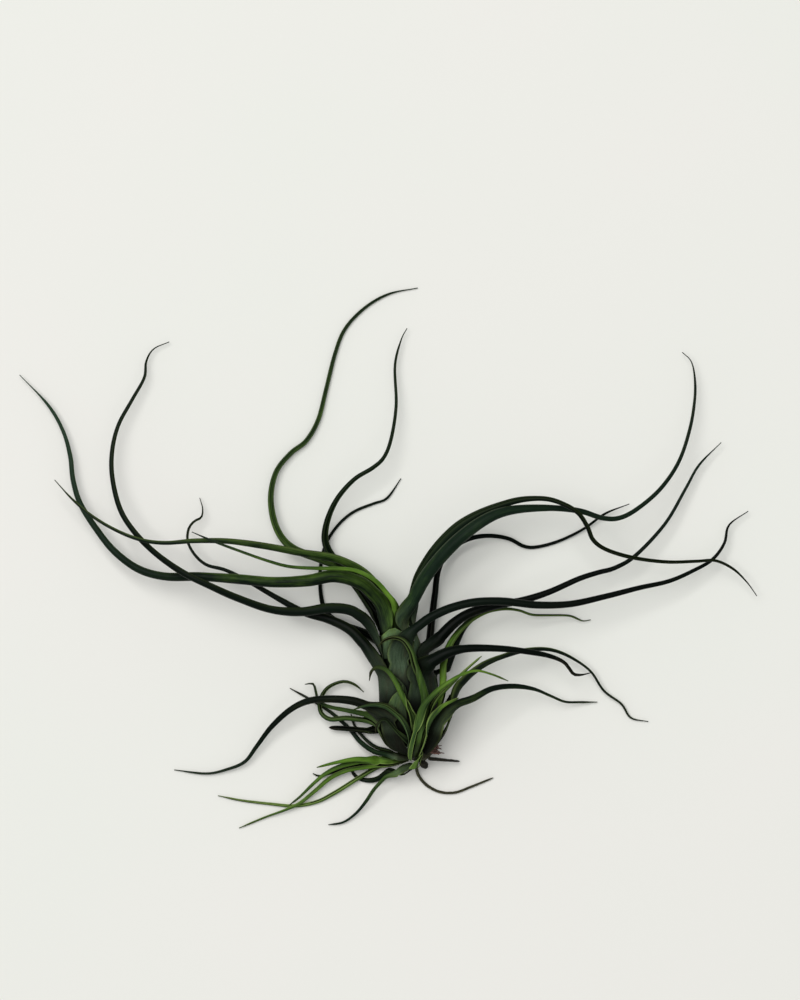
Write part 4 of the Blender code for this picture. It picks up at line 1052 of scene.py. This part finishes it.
@dataclass
class Stalk:
    """A rough round stalk: the stem's stub or a dried root."""

    name: str
    form: StalkForm
    step: float = 0.35
    sides: int = 20
    loose: bool = False
    least_rings: int = 10
    end_power: int = 12
    end_share: float = 0.02

    def build(self, material: bpy.types.Material) -> bpy.types.Object:
        """Make the stalk's knotted tube.

        Args:
            material: bark or root finish.

        Returns:
            The stalk's object, standing for its solid.
        """
        form = self.form
        route = Curve(form.points)
        total = route.lengths[-1]
        count = max(int(total / self.step), self.least_rings)
        mesh = Mesh(self.name if self.loose else self.name + "_skin")
        turns = np.linspace(0.0, 2.0 * math.pi, self.sides, endpoint=False)
        normal = carried(Vector((0.3, 0.2, 1.0)), route.tangent(0.0))
        seed = float(sum(ord(letter) for letter in self.name))
        for i in range(count + 1):
            share = i / count
            t = route.parameter(total * share)
            along = route.tangent(t)
            normal = carried(normal, along)
            side = along.cross(normal)
            centre = route.at(t)
            radius = blend(form.radii, t / route.last)
            radius *= math.sqrt(max(1.0 - (2.0 * share - 1.0) ** self.end_power, self.end_share))
            ring = []
            for turn in turns:
                direction = normal * math.cos(turn) + side * math.sin(turn)
                spot = centre * 0.9 + direction * 1.6 + Vector((seed, 0.0, 0.0))
                bump = noise.fractal(spot, 1.0, 2.1, 3)
                ring.append(centre + direction * radius * (1.0 + form.roughness * bump))
            place = np.column_stack([turns * radius + seed, np.full(self.sides, total * share),
                                     np.zeros(self.sides)])
            mesh.add(np.array(ring), place, np.zeros((self.sides, 4)))
        obj = mesh.to_object(material)
        finish_piece(obj, "" if self.loose else self.name)
        return obj


@dataclass
class RootTuft:
    """Frayed dry root fibres and the knot they leave the stem from."""

    knot: StalkForm = StalkForm(
        ((1.6, -21.2, 8.0), (3.6, -21.4, 8.8), (5.4, -20.9, 8.8), (6.8, -19.8, 8.2)),
        (1.5, 1.9, 1.6, 0.8), Slot.BARK, 0.45)
    fibres: int = 22
    start: tuple[float, float, float] = (6.3, -19.6, 11.0)
    length: float = 4.2
    radius: float = 0.36
    fan_start: float = -35.0
    fan_width: float = 130.0
    rise: float = 1.3
    curl: float = 0.5
    scatter: tuple[float, float] = (0.8, 0.9)
    roughness: float = 0.35

    def fibre(self, number: int) -> StalkForm:
        """Shape of one fibre, fanned out from the knot by its number.

        Args:
            number: the fibre's number, from 0.

        Returns:
            The fibre's form.
        """
        share = number / self.fibres
        turn = math.radians(self.fan_start + self.fan_width * ((number * 7) % self.fibres) / self.fibres)
        reach = self.length * (0.65 + 0.55 * ((number * 5) % 7) / 6)
        rise = self.rise * math.sin(number * 2.4)
        x, y, z = self.start
        x += self.scatter[0] * math.cos(number * 1.9)
        y += self.scatter[1] * math.sin(number * 1.3)
        curl = self.curl * math.sin(number * 3.1)
        points = tuple((x + reach * t * math.cos(turn + curl * t),
                        y + reach * t * math.sin(turn + curl * t),
                        z + rise * t - t * t) for t in (0.0, 0.33, 0.66, 1.0))
        width = self.radius * (0.7 + 0.6 * share)
        radii = (width, width * 0.9, width * 0.7, width * 0.4)
        return StalkForm(points, radii, Slot.ROOT, self.roughness)

    def build(self, bark: bpy.types.Material, root: bpy.types.Material) -> list[bpy.types.Object]:
        """Make the knot and its fibres.

        Args:
            bark: finish of the knot.
            root: finish of the fibres.

        Returns:
            The new objects.
        """
        pieces = [Stalk("root_knot", self.knot, loose=True).build(bark)]
        for number in range(self.fibres):
            name = "root_fibre_%02d" % (number + 1)
            stalk = Stalk(name, self.fibre(number), step=0.25, sides=8, loose=True)
            pieces.append(stalk.build(root))
        return pieces


@dataclass
class PaintedCreviceShade:
    """Painted shade: darkens the colour where leaves lie close together, worked out from the shapes round
    each point.
    """

    rays: int = 18
    reach: float = 5.0
    lift: float = 0.12
    floor: float = 0.04
    depth: float = 2.0
    near: float = 50.0

    def directions(self) -> list[Vector]:
        """Even directions over the half-sphere about +Z.

        Returns:
            The unit directions.
        """
        found = []
        for i in range(self.rays):
            height = math.sqrt((i + 0.5) / self.rays)
            turn = i * GOLDEN_ANGLE
            found.append(Vector((math.cos(turn) * math.sqrt(1 - height ** 2),
                                 math.sin(turn) * math.sqrt(1 - height ** 2), height)))
        return found

    def apply(self, pieces: list[bpy.types.Object]) -> None:
        """Paint shade into each piece's colour where its neighbours cover it.

        Args:
            pieces: every piece of the plant.
        """
        verts, faces = [], []
        for obj in pieces:
            base = len(verts)
            verts.extend(vert.co for vert in obj.data.vertices)
            faces.extend([base + i for i in face.vertices] for face in obj.data.polygons)
        tree = BVHTree.FromPolygons(verts, faces)
        directions = self.directions()
        for obj in pieces:
            self.shade(obj, tree, directions)

    def shade(self, obj: bpy.types.Object, tree: BVHTree, directions: list[Vector]) -> None:
        """Paint shade into one piece, apart from points far out on its blade.

        Args:
            obj: the piece.
            tree: search tree of the whole plant.
            directions: directions to look in, about +Z.
        """
        data = obj.data
        light = np.empty(len(data.vertices), dtype=np.float32)
        data.attributes["leaf_painted_shade"].data.foreach_get("value", light)
        for vert in data.vertices:
            if vert.co.length > self.near * MM:
                continue
            normal = vert.normal
            turn = Vector((0.0, 0.0, 1.0)).rotation_difference(normal)
            start = vert.co + normal * self.lift * MM
            hits = 0
            for direction in directions:
                if tree.ray_cast(start, turn @ direction, self.reach * MM)[0] is not None:
                    hits += 1
            open_share = 1.0 - hits / self.rays
            # Painted shade: the more directions the neighbours block, the darker the colour.
            light[vert.index] *= self.floor + (1.0 - self.floor) * open_share ** self.depth
        data.attributes["leaf_painted_shade"].data.foreach_set("value", light)


# Shader node groups ------------------------------------------------------------------------------------


class Graph:
    """Short way to add and wire nodes in one tree."""

    def __init__(self, tree: bpy.types.NodeTree) -> None:
        """Work in this tree."""
        self.tree = tree

    def add(self, kind: str, **settings: object) -> bpy.types.Node:
        """Add a node and set its properties.

        Args:
            kind: the node's type.
            settings: its properties by name.

        Returns:
            The node.
        """
        node = self.tree.nodes.new(kind)
        for key, value in settings.items():
            setattr(node, key, value)
        return node

    def link(self, source: bpy.types.NodeSocket, target: bpy.types.NodeSocket) -> None:
        """Wire two sockets."""
        self.tree.links.new(source, target)

    def maths(self, operation: str, a: object, b: object = None,
              clamp: bool = False) -> bpy.types.NodeSocket:
        """Math node on two sockets or numbers; returns its output.

        Args:
            operation: the node's operation.
            a: first socket or number.
            b: second socket or number, if it takes one.
            clamp: whether the result is kept in 0 to 1.

        Returns:
            The result's socket.
        """
        node = self.add("ShaderNodeMath", operation=operation, use_clamp=clamp)
        for i, value in enumerate((a, b)):
            if isinstance(value, bpy.types.NodeSocket):
                self.link(value, node.inputs[i])
            elif value is not None:
                node.inputs[i].default_value = value
        return node.outputs[0]

    def ramp(self, value: object, low: float, high: float, start: float = 0.0,
             end: float = 1.0) -> bpy.types.NodeSocket:
        """Clamped map of a value from low..high to start..end.

        Args:
            value: socket with the value.
            low: value that gives the start.
            high: value that gives the end.
            start: result at low.
            end: result at high.

        Returns:
            The result's socket.
        """
        node = self.add("ShaderNodeMapRange", clamp=True)
        self.link(value, node.inputs[0])
        for i, number in enumerate((low, high, start, end)):
            node.inputs[i + 1].default_value = number
        return node.outputs[0]

    def mix(self, share: object, a: object, b: object, blend_type: str = "MIX") -> bpy.types.NodeSocket:
        """Colour mix; each of a and b is a socket or an (r, g, b).

        Args:
            share: share of b, a socket or a number.
            a: first colour, a socket or red, green, blue.
            b: second colour, likewise.
            blend_type: how b goes over a.

        Returns:
            The colour's socket.
        """
        node = self.add("ShaderNodeMix", data_type="RGBA", blend_type=blend_type)
        for value, socket in ((share, node.inputs[0]), (a, node.inputs[6]), (b, node.inputs[7])):
            if isinstance(value, bpy.types.NodeSocket):
                self.link(value, socket)
            elif isinstance(value, tuple):
                socket.default_value = (*value, 1.0)
            else:
                socket.default_value = value
        return node.outputs[2]

    def noise(self, vector: bpy.types.NodeSocket, scale: float, detail: float = 3.0,
              rough: float = 0.55) -> bpy.types.NodeSocket:
        """Noise texture value on a vector.

        Args:
            vector: socket with the place.
            scale: scale of the noise.
            detail: octaves of the noise.
            rough: strength of the finer octaves.

        Returns:
            The noise value's socket.
        """
        node = self.add("ShaderNodeTexNoise")
        node.inputs["Scale"].default_value = scale
        node.inputs["Detail"].default_value = detail
        node.inputs["Roughness"].default_value = rough
        self.link(vector, node.inputs["Vector"])
        return node.outputs[0]

    def scaled(self, colour: bpy.types.NodeSocket, share: bpy.types.NodeSocket) -> bpy.types.NodeSocket:
        """Colour multiplied by a value.

        Args:
            colour: socket with the colour.
            share: socket with the value.

        Returns:
            The colour's socket.
        """
        node = self.add("ShaderNodeVectorMath", operation="SCALE")
        self.link(colour, node.inputs[0])
        self.link(share, node.inputs["Scale"])
        return node.outputs[0]

    def stretched(self, vector: bpy.types.NodeSocket,
                  scale: tuple[float, float, float]) -> bpy.types.NodeSocket:
        """Vector scaled differently on each axis.

        Args:
            vector: socket with the vector.
            scale: factor on each axis.

        Returns:
            The vector's socket.
        """
        node = self.add("ShaderNodeVectorMath", operation="MULTIPLY")
        self.link(vector, node.inputs[0])
        node.inputs[1].default_value = scale
        return node.outputs[0]

    def bump(self, height: bpy.types.NodeSocket, strength: float, depth: float,
             shader: bpy.types.Node) -> None:
        """Give a shader a bump from a height.

        Args:
            height: socket with the height.
            strength: strength of the bump.
            depth: depth that a height of 1 stands for, metres.
            shader: the shader whose normal it sets.
        """
        node = self.add("ShaderNodeBump")
        node.inputs["Strength"].default_value = strength
        node.inputs["Distance"].default_value = depth
        self.link(height, node.inputs["Height"])
        self.link(node.outputs["Normal"], shader.inputs["Normal"])


def new_group(name: str, inputs: dict[str, str], outputs: dict[str, str]) -> bpy.types.NodeTree:
    """Empty shader node group.

    Args:
        name: the group's name.
        inputs: socket name to socket type.
        outputs: socket name to socket type.

    Returns:
        The group's tree, with a group input and a group output node.
    """
    tree = bpy.data.node_groups.new(name, "ShaderNodeTree")
    for label, kind in inputs.items():
        tree.interface.new_socket(name=label, in_out="INPUT", socket_type=kind)
    for label, kind in outputs.items():
        tree.interface.new_socket(name=label, in_out="OUTPUT", socket_type=kind)
    tree.nodes.new("NodeGroupInput").name = "in"
    tree.nodes.new("NodeGroupOutput").name = "out"
    return tree


def veins_group() -> bpy.types.NodeTree:
    """Fine lines that run along a leaf: a value for colour and a height for bump.

    Returns:
        The group's tree.
    """
    tree = new_group("Leaf veins", {"Place": "NodeSocketVector"},
                     {"Lines": "NodeSocketFloat", "Blotch": "NodeSocketFloat", "Height": "NodeSocketFloat"})
    g = Graph(tree)
    place = tree.nodes["in"].outputs["Place"]
    fine = g.noise(g.stretched(place, (5.2, 0.10, 0.6)), 1.0, 2.0)
    broad = g.noise(g.stretched(place, (1.3, 0.035, 0.6)), 1.0, 2.0)
    blotch = g.noise(g.stretched(place, (0.30, 0.11, 0.5)), 1.0, 4.0, 0.6)
    out = tree.nodes["out"]
    lines = g.maths("ADD", g.maths("MULTIPLY", fine, 0.55), g.maths("MULTIPLY", broad, 0.45))
    g.link(g.ramp(lines, 0.34, 0.66), out.inputs["Lines"])
    g.link(g.ramp(blotch, 0.30, 0.70), out.inputs["Blotch"])
    g.link(lines, out.inputs["Height"])
    return tree


def scurf_group() -> bpy.types.NodeTree:
    """Silvery scale dust on a leaf: a mask of small soft flecks in loose patches.

    Returns:
        The group's tree.
    """
    tree = new_group("Leaf scurf", {"Place": "NodeSocketVector", "Cover": "NodeSocketFloat"},
                     {"Mask": "NodeSocketFloat", "Height": "NodeSocketFloat"})
    g = Graph(tree)
    place = tree.nodes["in"].outputs["Place"]
    cover = tree.nodes["in"].outputs["Cover"]
    cells = g.add("ShaderNodeTexVoronoi", feature="F1")
    cells.inputs["Scale"].default_value = 1.0
    g.link(g.stretched(place, (5.5, 2.6, 1.0)), cells.inputs["Vector"])
    flecks = g.ramp(cells.outputs["Distance"], 0.16, 0.46, 1.0, 0.0)
    patches = g.noise(g.stretched(place, (0.55, 0.28, 1.0)), 1.0, 4.0, 0.65)
    cut = g.maths("SUBTRACT", 0.78, g.maths("MULTIPLY", cover, 0.55))
    shown = g.maths("MULTIPLY", g.maths("SUBTRACT", patches, cut), 5.0, clamp=True)
    out = tree.nodes["out"]
    g.link(g.maths("MULTIPLY", flecks, shown), out.inputs["Mask"])
    g.link(g.maths("MULTIPLY", flecks, cover), out.inputs["Height"])
    return tree


# Finishes ----------------------------------------------------------------------------------------------


def new_material(name: str) -> tuple[bpy.types.Material, Graph, bpy.types.Node]:
    """Plain material to build on.

    Args:
        name: the material's name.

    Returns:
        The material, its graph and its Principled BSDF.
    """
    mat = bpy.data.materials.new(name)
    mat.use_nodes = True
    return mat, Graph(mat.node_tree), mat.node_tree.nodes["Principled BSDF"]


@dataclass(frozen=True)
class LeafFinish:
    """Finish of the leaves: green skin with veins, lime young tissue, dried edges and scale dust, scaled by
    painted light and shade that the mesh carries.
    """

    name: str
    deep: tuple[float, float, float] = (0.0045, 0.0110, 0.0060)
    light: tuple[float, float, float] = (0.0125, 0.0270, 0.0140)
    lime_deep: tuple[float, float, float] = (0.030, 0.085, 0.007)
    lime_light: tuple[float, float, float] = (0.146, 0.268, 0.030)
    sheath_deep: tuple[float, float, float] = (0.024, 0.048, 0.024)
    sheath_light: tuple[float, float, float] = (0.096, 0.142, 0.080)
    blush: tuple[float, float, float] = (0.080, 0.058, 0.040)
    dried: tuple[float, float, float] = (0.024, 0.019, 0.010)
    rim: tuple[float, float, float] = (0.300, 0.420, 0.110)
    scurf: tuple[float, float, float] = (0.130, 0.165, 0.135)
    specular: float = 0.05
    bump_strength: float = 0.35
    bump_depth: float = 0.00025

    def build(self, veins: bpy.types.NodeTree, scurf: bpy.types.NodeTree) -> bpy.types.Material:
        """Make the material.

        Args:
            veins: the leaf veins group.
            scurf: the leaf scurf group.

        Returns:
            The leaf material.
        """
        mat, g, shader = new_material(self.name)
        place = g.add("ShaderNodeAttribute", attribute_name="leaf_place").outputs["Vector"]
        tone = g.add("ShaderNodeAttribute", attribute_name="leaf_tone")
        parts = g.add("ShaderNodeSeparateColor")
        g.link(tone.outputs["Color"], parts.inputs[0])
        lime, dry, rim = parts.outputs[0], parts.outputs[1], parts.outputs[2]
        sheath = tone.outputs["Alpha"]
        vein = g.add("ShaderNodeGroup", node_tree=veins)
        g.link(place, vein.inputs["Place"])
        dust = g.add("ShaderNodeGroup", node_tree=scurf)
        g.link(place, dust.inputs["Place"])
        g.link(g.maths("ADD", g.maths("MULTIPLY", sheath, 0.65), 0.30), dust.inputs["Cover"])
        shade = g.maths("ADD", g.maths("MULTIPLY", vein.outputs["Lines"], 0.5),
                        g.maths("MULTIPLY", vein.outputs["Blotch"], 0.5))
        green = g.mix(shade, self.deep, self.light)
        young = g.mix(shade, self.lime_deep, self.lime_light)
        base = g.mix(shade, self.sheath_deep, self.sheath_light)
        blushing = g.maths("MULTIPLY", g.ramp(vein.outputs["Blotch"], 0.55, 0.95), 0.5)
        blushed = g.mix(blushing, base, self.blush)
        # Scale the colour by each leaf's brightness: partly its tone, partly painted light and shade.
        tone_and_painted_light = g.add("ShaderNodeSeparateXYZ")
        g.link(place, tone_and_painted_light.inputs[0])
        colour = g.scaled(g.mix(sheath, green, blushed), tone_and_painted_light.outputs[2])
        limeness = g.ramp(g.maths("ADD", lime, g.maths("MULTIPLY", g.maths("SUBTRACT", shade, 0.5), 0.5)),
                          0.05, 0.95)
        colour = g.mix(g.maths("MULTIPLY", limeness, g.ramp(lime, 0.0, 0.12)), colour, young)
        dryness = g.ramp(g.maths("ADD", dry, g.maths("MULTIPLY", g.maths("SUBTRACT", shade, 0.5), 0.6)),
                         0.20, 0.90)
        colour = g.mix(dryness, colour, self.dried)
        colour = g.mix(rim, colour, self.rim)
        powder = g.maths("MULTIPLY", dust.outputs["Mask"], g.maths("MULTIPLY", tone_and_painted_light.outputs[2], 0.36))
        colour = g.mix(powder, colour, self.scurf)
        # Painted shade: darker at covered sheath bases and where neighbouring leaves crowd round.
        painted_shade = g.add("ShaderNodeAttribute", attribute_name="leaf_painted_shade").outputs["Fac"]
        colour = g.scaled(colour, painted_shade)
        g.link(colour, shader.inputs["Base Color"])
        rough = g.maths("ADD", 0.40, g.maths("MULTIPLY", sheath, 0.16))
        rough = g.maths("ADD", rough, g.maths("MULTIPLY", dust.outputs["Mask"], 0.25))
        rough = g.maths("ADD", rough, g.maths("MULTIPLY", dryness, 0.25), clamp=True)
        g.link(rough, shader.inputs["Roughness"])
        shader.inputs["Specular IOR Level"].default_value = self.specular
        height = g.maths("ADD", vein.outputs["Height"], g.maths("MULTIPLY", dust.outputs["Height"], 0.35))
        g.bump(height, self.bump_strength, self.bump_depth, shader)
        return mat


@dataclass(frozen=True)
class BarkFinish:
    """Finish of the stem's stub and the roots: dark fibrous bark with red-brown and pale patches."""

    name: str
    dark: tuple[float, float, float]
    warm: tuple[float, float, float]
    pale: tuple[float, float, float]
    pale_share: float
    specular: float = 0.25
    bump_strength: float = 0.7
    bump_depth: float = 0.0004

    def build(self, veins: bpy.types.NodeTree) -> bpy.types.Material:
        """Make the material with the veins group as its fibres.

        Args:
            veins: the leaf veins group.

        Returns:
            The bark material.
        """
        mat, g, shader = new_material(self.name)
        place = g.add("ShaderNodeAttribute", attribute_name="leaf_place").outputs["Vector"]
        fibre = g.add("ShaderNodeGroup", node_tree=veins)
        g.link(g.stretched(place, (1.4, 6.0, 1.0)), fibre.inputs["Place"])
        patch = g.noise(g.stretched(place, (0.9, 0.7, 1.0)), 1.0, 5.0, 0.7)
        colour = g.mix(fibre.outputs["Lines"], self.dark, self.warm)
        colour = g.mix(g.ramp(patch, 0.62 - 0.3 * self.pale_share, 0.72), colour, self.pale)
        g.link(colour, shader.inputs["Base Color"])
        g.link(g.ramp(patch, 0.3, 0.7, 0.70, 0.92), shader.inputs["Roughness"])
        shader.inputs["Specular IOR Level"].default_value = self.specular
        height = g.maths("ADD", fibre.outputs["Height"], patch)
        g.bump(height, self.bump_strength, self.bump_depth, shader)
        return mat


@dataclass(frozen=True)
class FloorFinish:
    """Finish of the plain pale board the plant lies on."""

    name: str = "pale_board"
    colour: tuple[float, float, float] = (0.80, 0.80, 0.745)
    second: tuple[float, float, float] = (0.812, 0.798, 0.75)
    roughness: float = 0.8
    specular: float = 0.1

    def build(self) -> bpy.types.Material:
        """Make the material: two near whites in very soft clouds.

        Returns:
            The board's material.
        """
        mat, g, shader = new_material(self.name)
        place = g.add("ShaderNodeTexCoord").outputs["Object"]
        cloud = g.ramp(g.noise(place, 6.0, 2.0), 0.4, 0.6)
        g.link(g.mix(cloud, self.colour, self.second), shader.inputs["Base Color"])
        shader.inputs["Roughness"].default_value = self.roughness
        shader.inputs["Specular IOR Level"].default_value = self.specular
        return mat


# Studio ------------------------------------------------------------------------------------------------


@dataclass
class Studio:
    """Floor, light and camera: a pale board seen from straight above under a soft window light."""

    view_height: float = 2.5
    field_height: float = 1.0 / 3.0
    view_centre: tuple[float, float] = (-0.00333, 0.06333)
    film: float = 36.0
    floor_half: float = 3.0
    floor_drop: float = 0.0001
    key_place: tuple[float, float, float] = (-0.8, 0.9, 3.4)
    key_size: float = 2.3
    key_power: float = 90.0
    fill_place: tuple[float, float, float] = (0.5, -0.5, 3.6)
    fill_size: float = 3.0
    fill_power: float = 16.5
    sky: tuple[float, float, float] = (0.95, 0.98, 1.0)
    sky_strength: float = 0.375

    def build_floor(self, material: bpy.types.Material) -> None:
        """Lay the board just under the resting plane.

        Args:
            material: the board's finish.
        """
        bpy.ops.mesh.primitive_plane_add(size=2 * self.floor_half, location=(0.0, 0.0, -self.floor_drop))
        floor = bpy.context.object
        floor.name = "floor"
        floor.data.materials.append(material)

    def add_light(self, name: str, place: tuple[float, float, float], size: float, power: float) -> None:
        """Hang a square soft light that faces the plant.

        Args:
            name: the light's name.
            place: where it hangs, metres.
            size: side of its square, metres.
            power: its power, watts.
        """
        data = bpy.data.lights.new(name, "AREA")
        data.shape = "SQUARE"
        data.size = size
        data.energy = power
        light = bpy.data.objects.new(name, data)
        light.location = place
        light.rotation_euler = (-Vector(place)).to_track_quat("-Z", "Y").to_euler()
        bpy.context.scene.collection.objects.link(light)

    def build_lights(self) -> None:
        """Hang the window light, the weaker fill, and set the sky."""
        self.add_light("window_light", self.key_place, self.key_size, self.key_power)
        self.add_light("fill_light", self.fill_place, self.fill_size, self.fill_power)
        world = bpy.data.worlds.new("soft_sky")
        world.use_nodes = True
        background = world.node_tree.nodes["Background"]
        background.inputs["Color"].default_value = (*self.sky, 1.0)
        background.inputs["Strength"].default_value = self.sky_strength
        bpy.context.scene.world = world

    def build_camera(self) -> None:
        """Hang the camera straight above, with a long lens."""
        data = bpy.data.cameras.new("camera")
        data.sensor_fit = "VERTICAL"
        data.sensor_height = self.film
        data.lens = self.film * self.view_height / self.field_height
        data.clip_end = 50.0
        camera = bpy.data.objects.new("camera", data)
        camera.location = (*self.view_centre, self.view_height)
        bpy.context.scene.collection.objects.link(camera)
        bpy.context.scene.camera = camera


@dataclass
class AirPlant:
    """The whole plant: leaves of every rosette, the stem's stub, the scales and the roots.

    The leaves of the smaller rosettes are made with fewer and finer rings than those of the main bulb.
    """

    small_sheath_rings: int = 16
    small_turn_rings: int = 7
    small_blade_step: float = 0.8
    small_outer_points: int = 25
    small_inner_points: int = 9
    small_rib_count: float = 5.0
    small_rib_depth: float = 0.02
    small_lip: float = 0.12

    def leaf(self, name: str, form: LeafForm) -> Leaf:
        """Leaf of the fineness that its rosette calls for.

        Args:
            name: the leaf's name.
            form: its form and tones.

        Returns:
            The leaf, not yet built.
        """
        if form.rosette == "main":
            return Leaf(name, form)
        return Leaf(name, form, sheath_rings=self.small_sheath_rings, turn_rings=self.small_turn_rings,
                    blade_step=self.small_blade_step, outer_points=self.small_outer_points,
                    inner_points=self.small_inner_points, rib_count=self.small_rib_count,
                    rib_depth=self.small_rib_depth, lip=self.small_lip)

    def build(self) -> list[bpy.types.Object]:
        """Make every finish and piece.

        Returns:
            The pieces, in the order they were made.
        """
        veins = veins_group()
        scurf = scurf_group()
        finishes = {
            Slot.GREEN: LeafFinish("leaf_green_skin").build(veins, scurf),
            Slot.LIME: LeafFinish("leaf_lime_skin").build(veins, scurf),
            Slot.DRY: LeafFinish("leaf_dry_skin").build(veins, scurf),
            Slot.BARK: BarkFinish("stem_bark_skin", (0.010, 0.011, 0.005), (0.042, 0.042, 0.018),
                                  (0.110, 0.105, 0.050), 0.4).build(veins),
            Slot.ROOT: BarkFinish("root_dark_skin", (0.004, 0.004, 0.002), (0.016, 0.014, 0.007),
                                  (0.060, 0.046, 0.026), 0.25).build(veins),
        }
        pieces = [self.leaf(name, form).build(finishes[form.slot]) for name, form in LEAVES.items()]
        pieces += [Stalk(name, form).build(finishes[form.slot]) for name, form in STALKS.items()]
        pieces += [Husk(name, form).build(finishes[form.slot]) for name, form in HUSKS.items()]
        fibre = BarkFinish("root_fibre_skin", (0.020, 0.010, 0.008), (0.100, 0.052, 0.042),
                           (0.330, 0.170, 0.130), 0.6).build(veins)
        pieces += RootTuft().build(finishes[Slot.BARK], fibre)
        # Paint shade into the colour where neighbours cover each point.
        PaintedCreviceShade().apply(pieces)
        return pieces


def main() -> None:
    """Build the studio and the plant, and report each piece."""
    logging.basicConfig(level=logging.INFO, format="%(name)s: %(message)s")
    studio = Studio()
    studio.build_camera()
    studio.build_lights()
    studio.build_floor(FloorFinish().build())
    for obj in AirPlant().build():
        log.info("%s: %d faces", obj.name, len(obj.data.polygons))
    bpy.context.scene.view_settings.view_transform = "Standard"


if __name__ == "__main__":
    main()
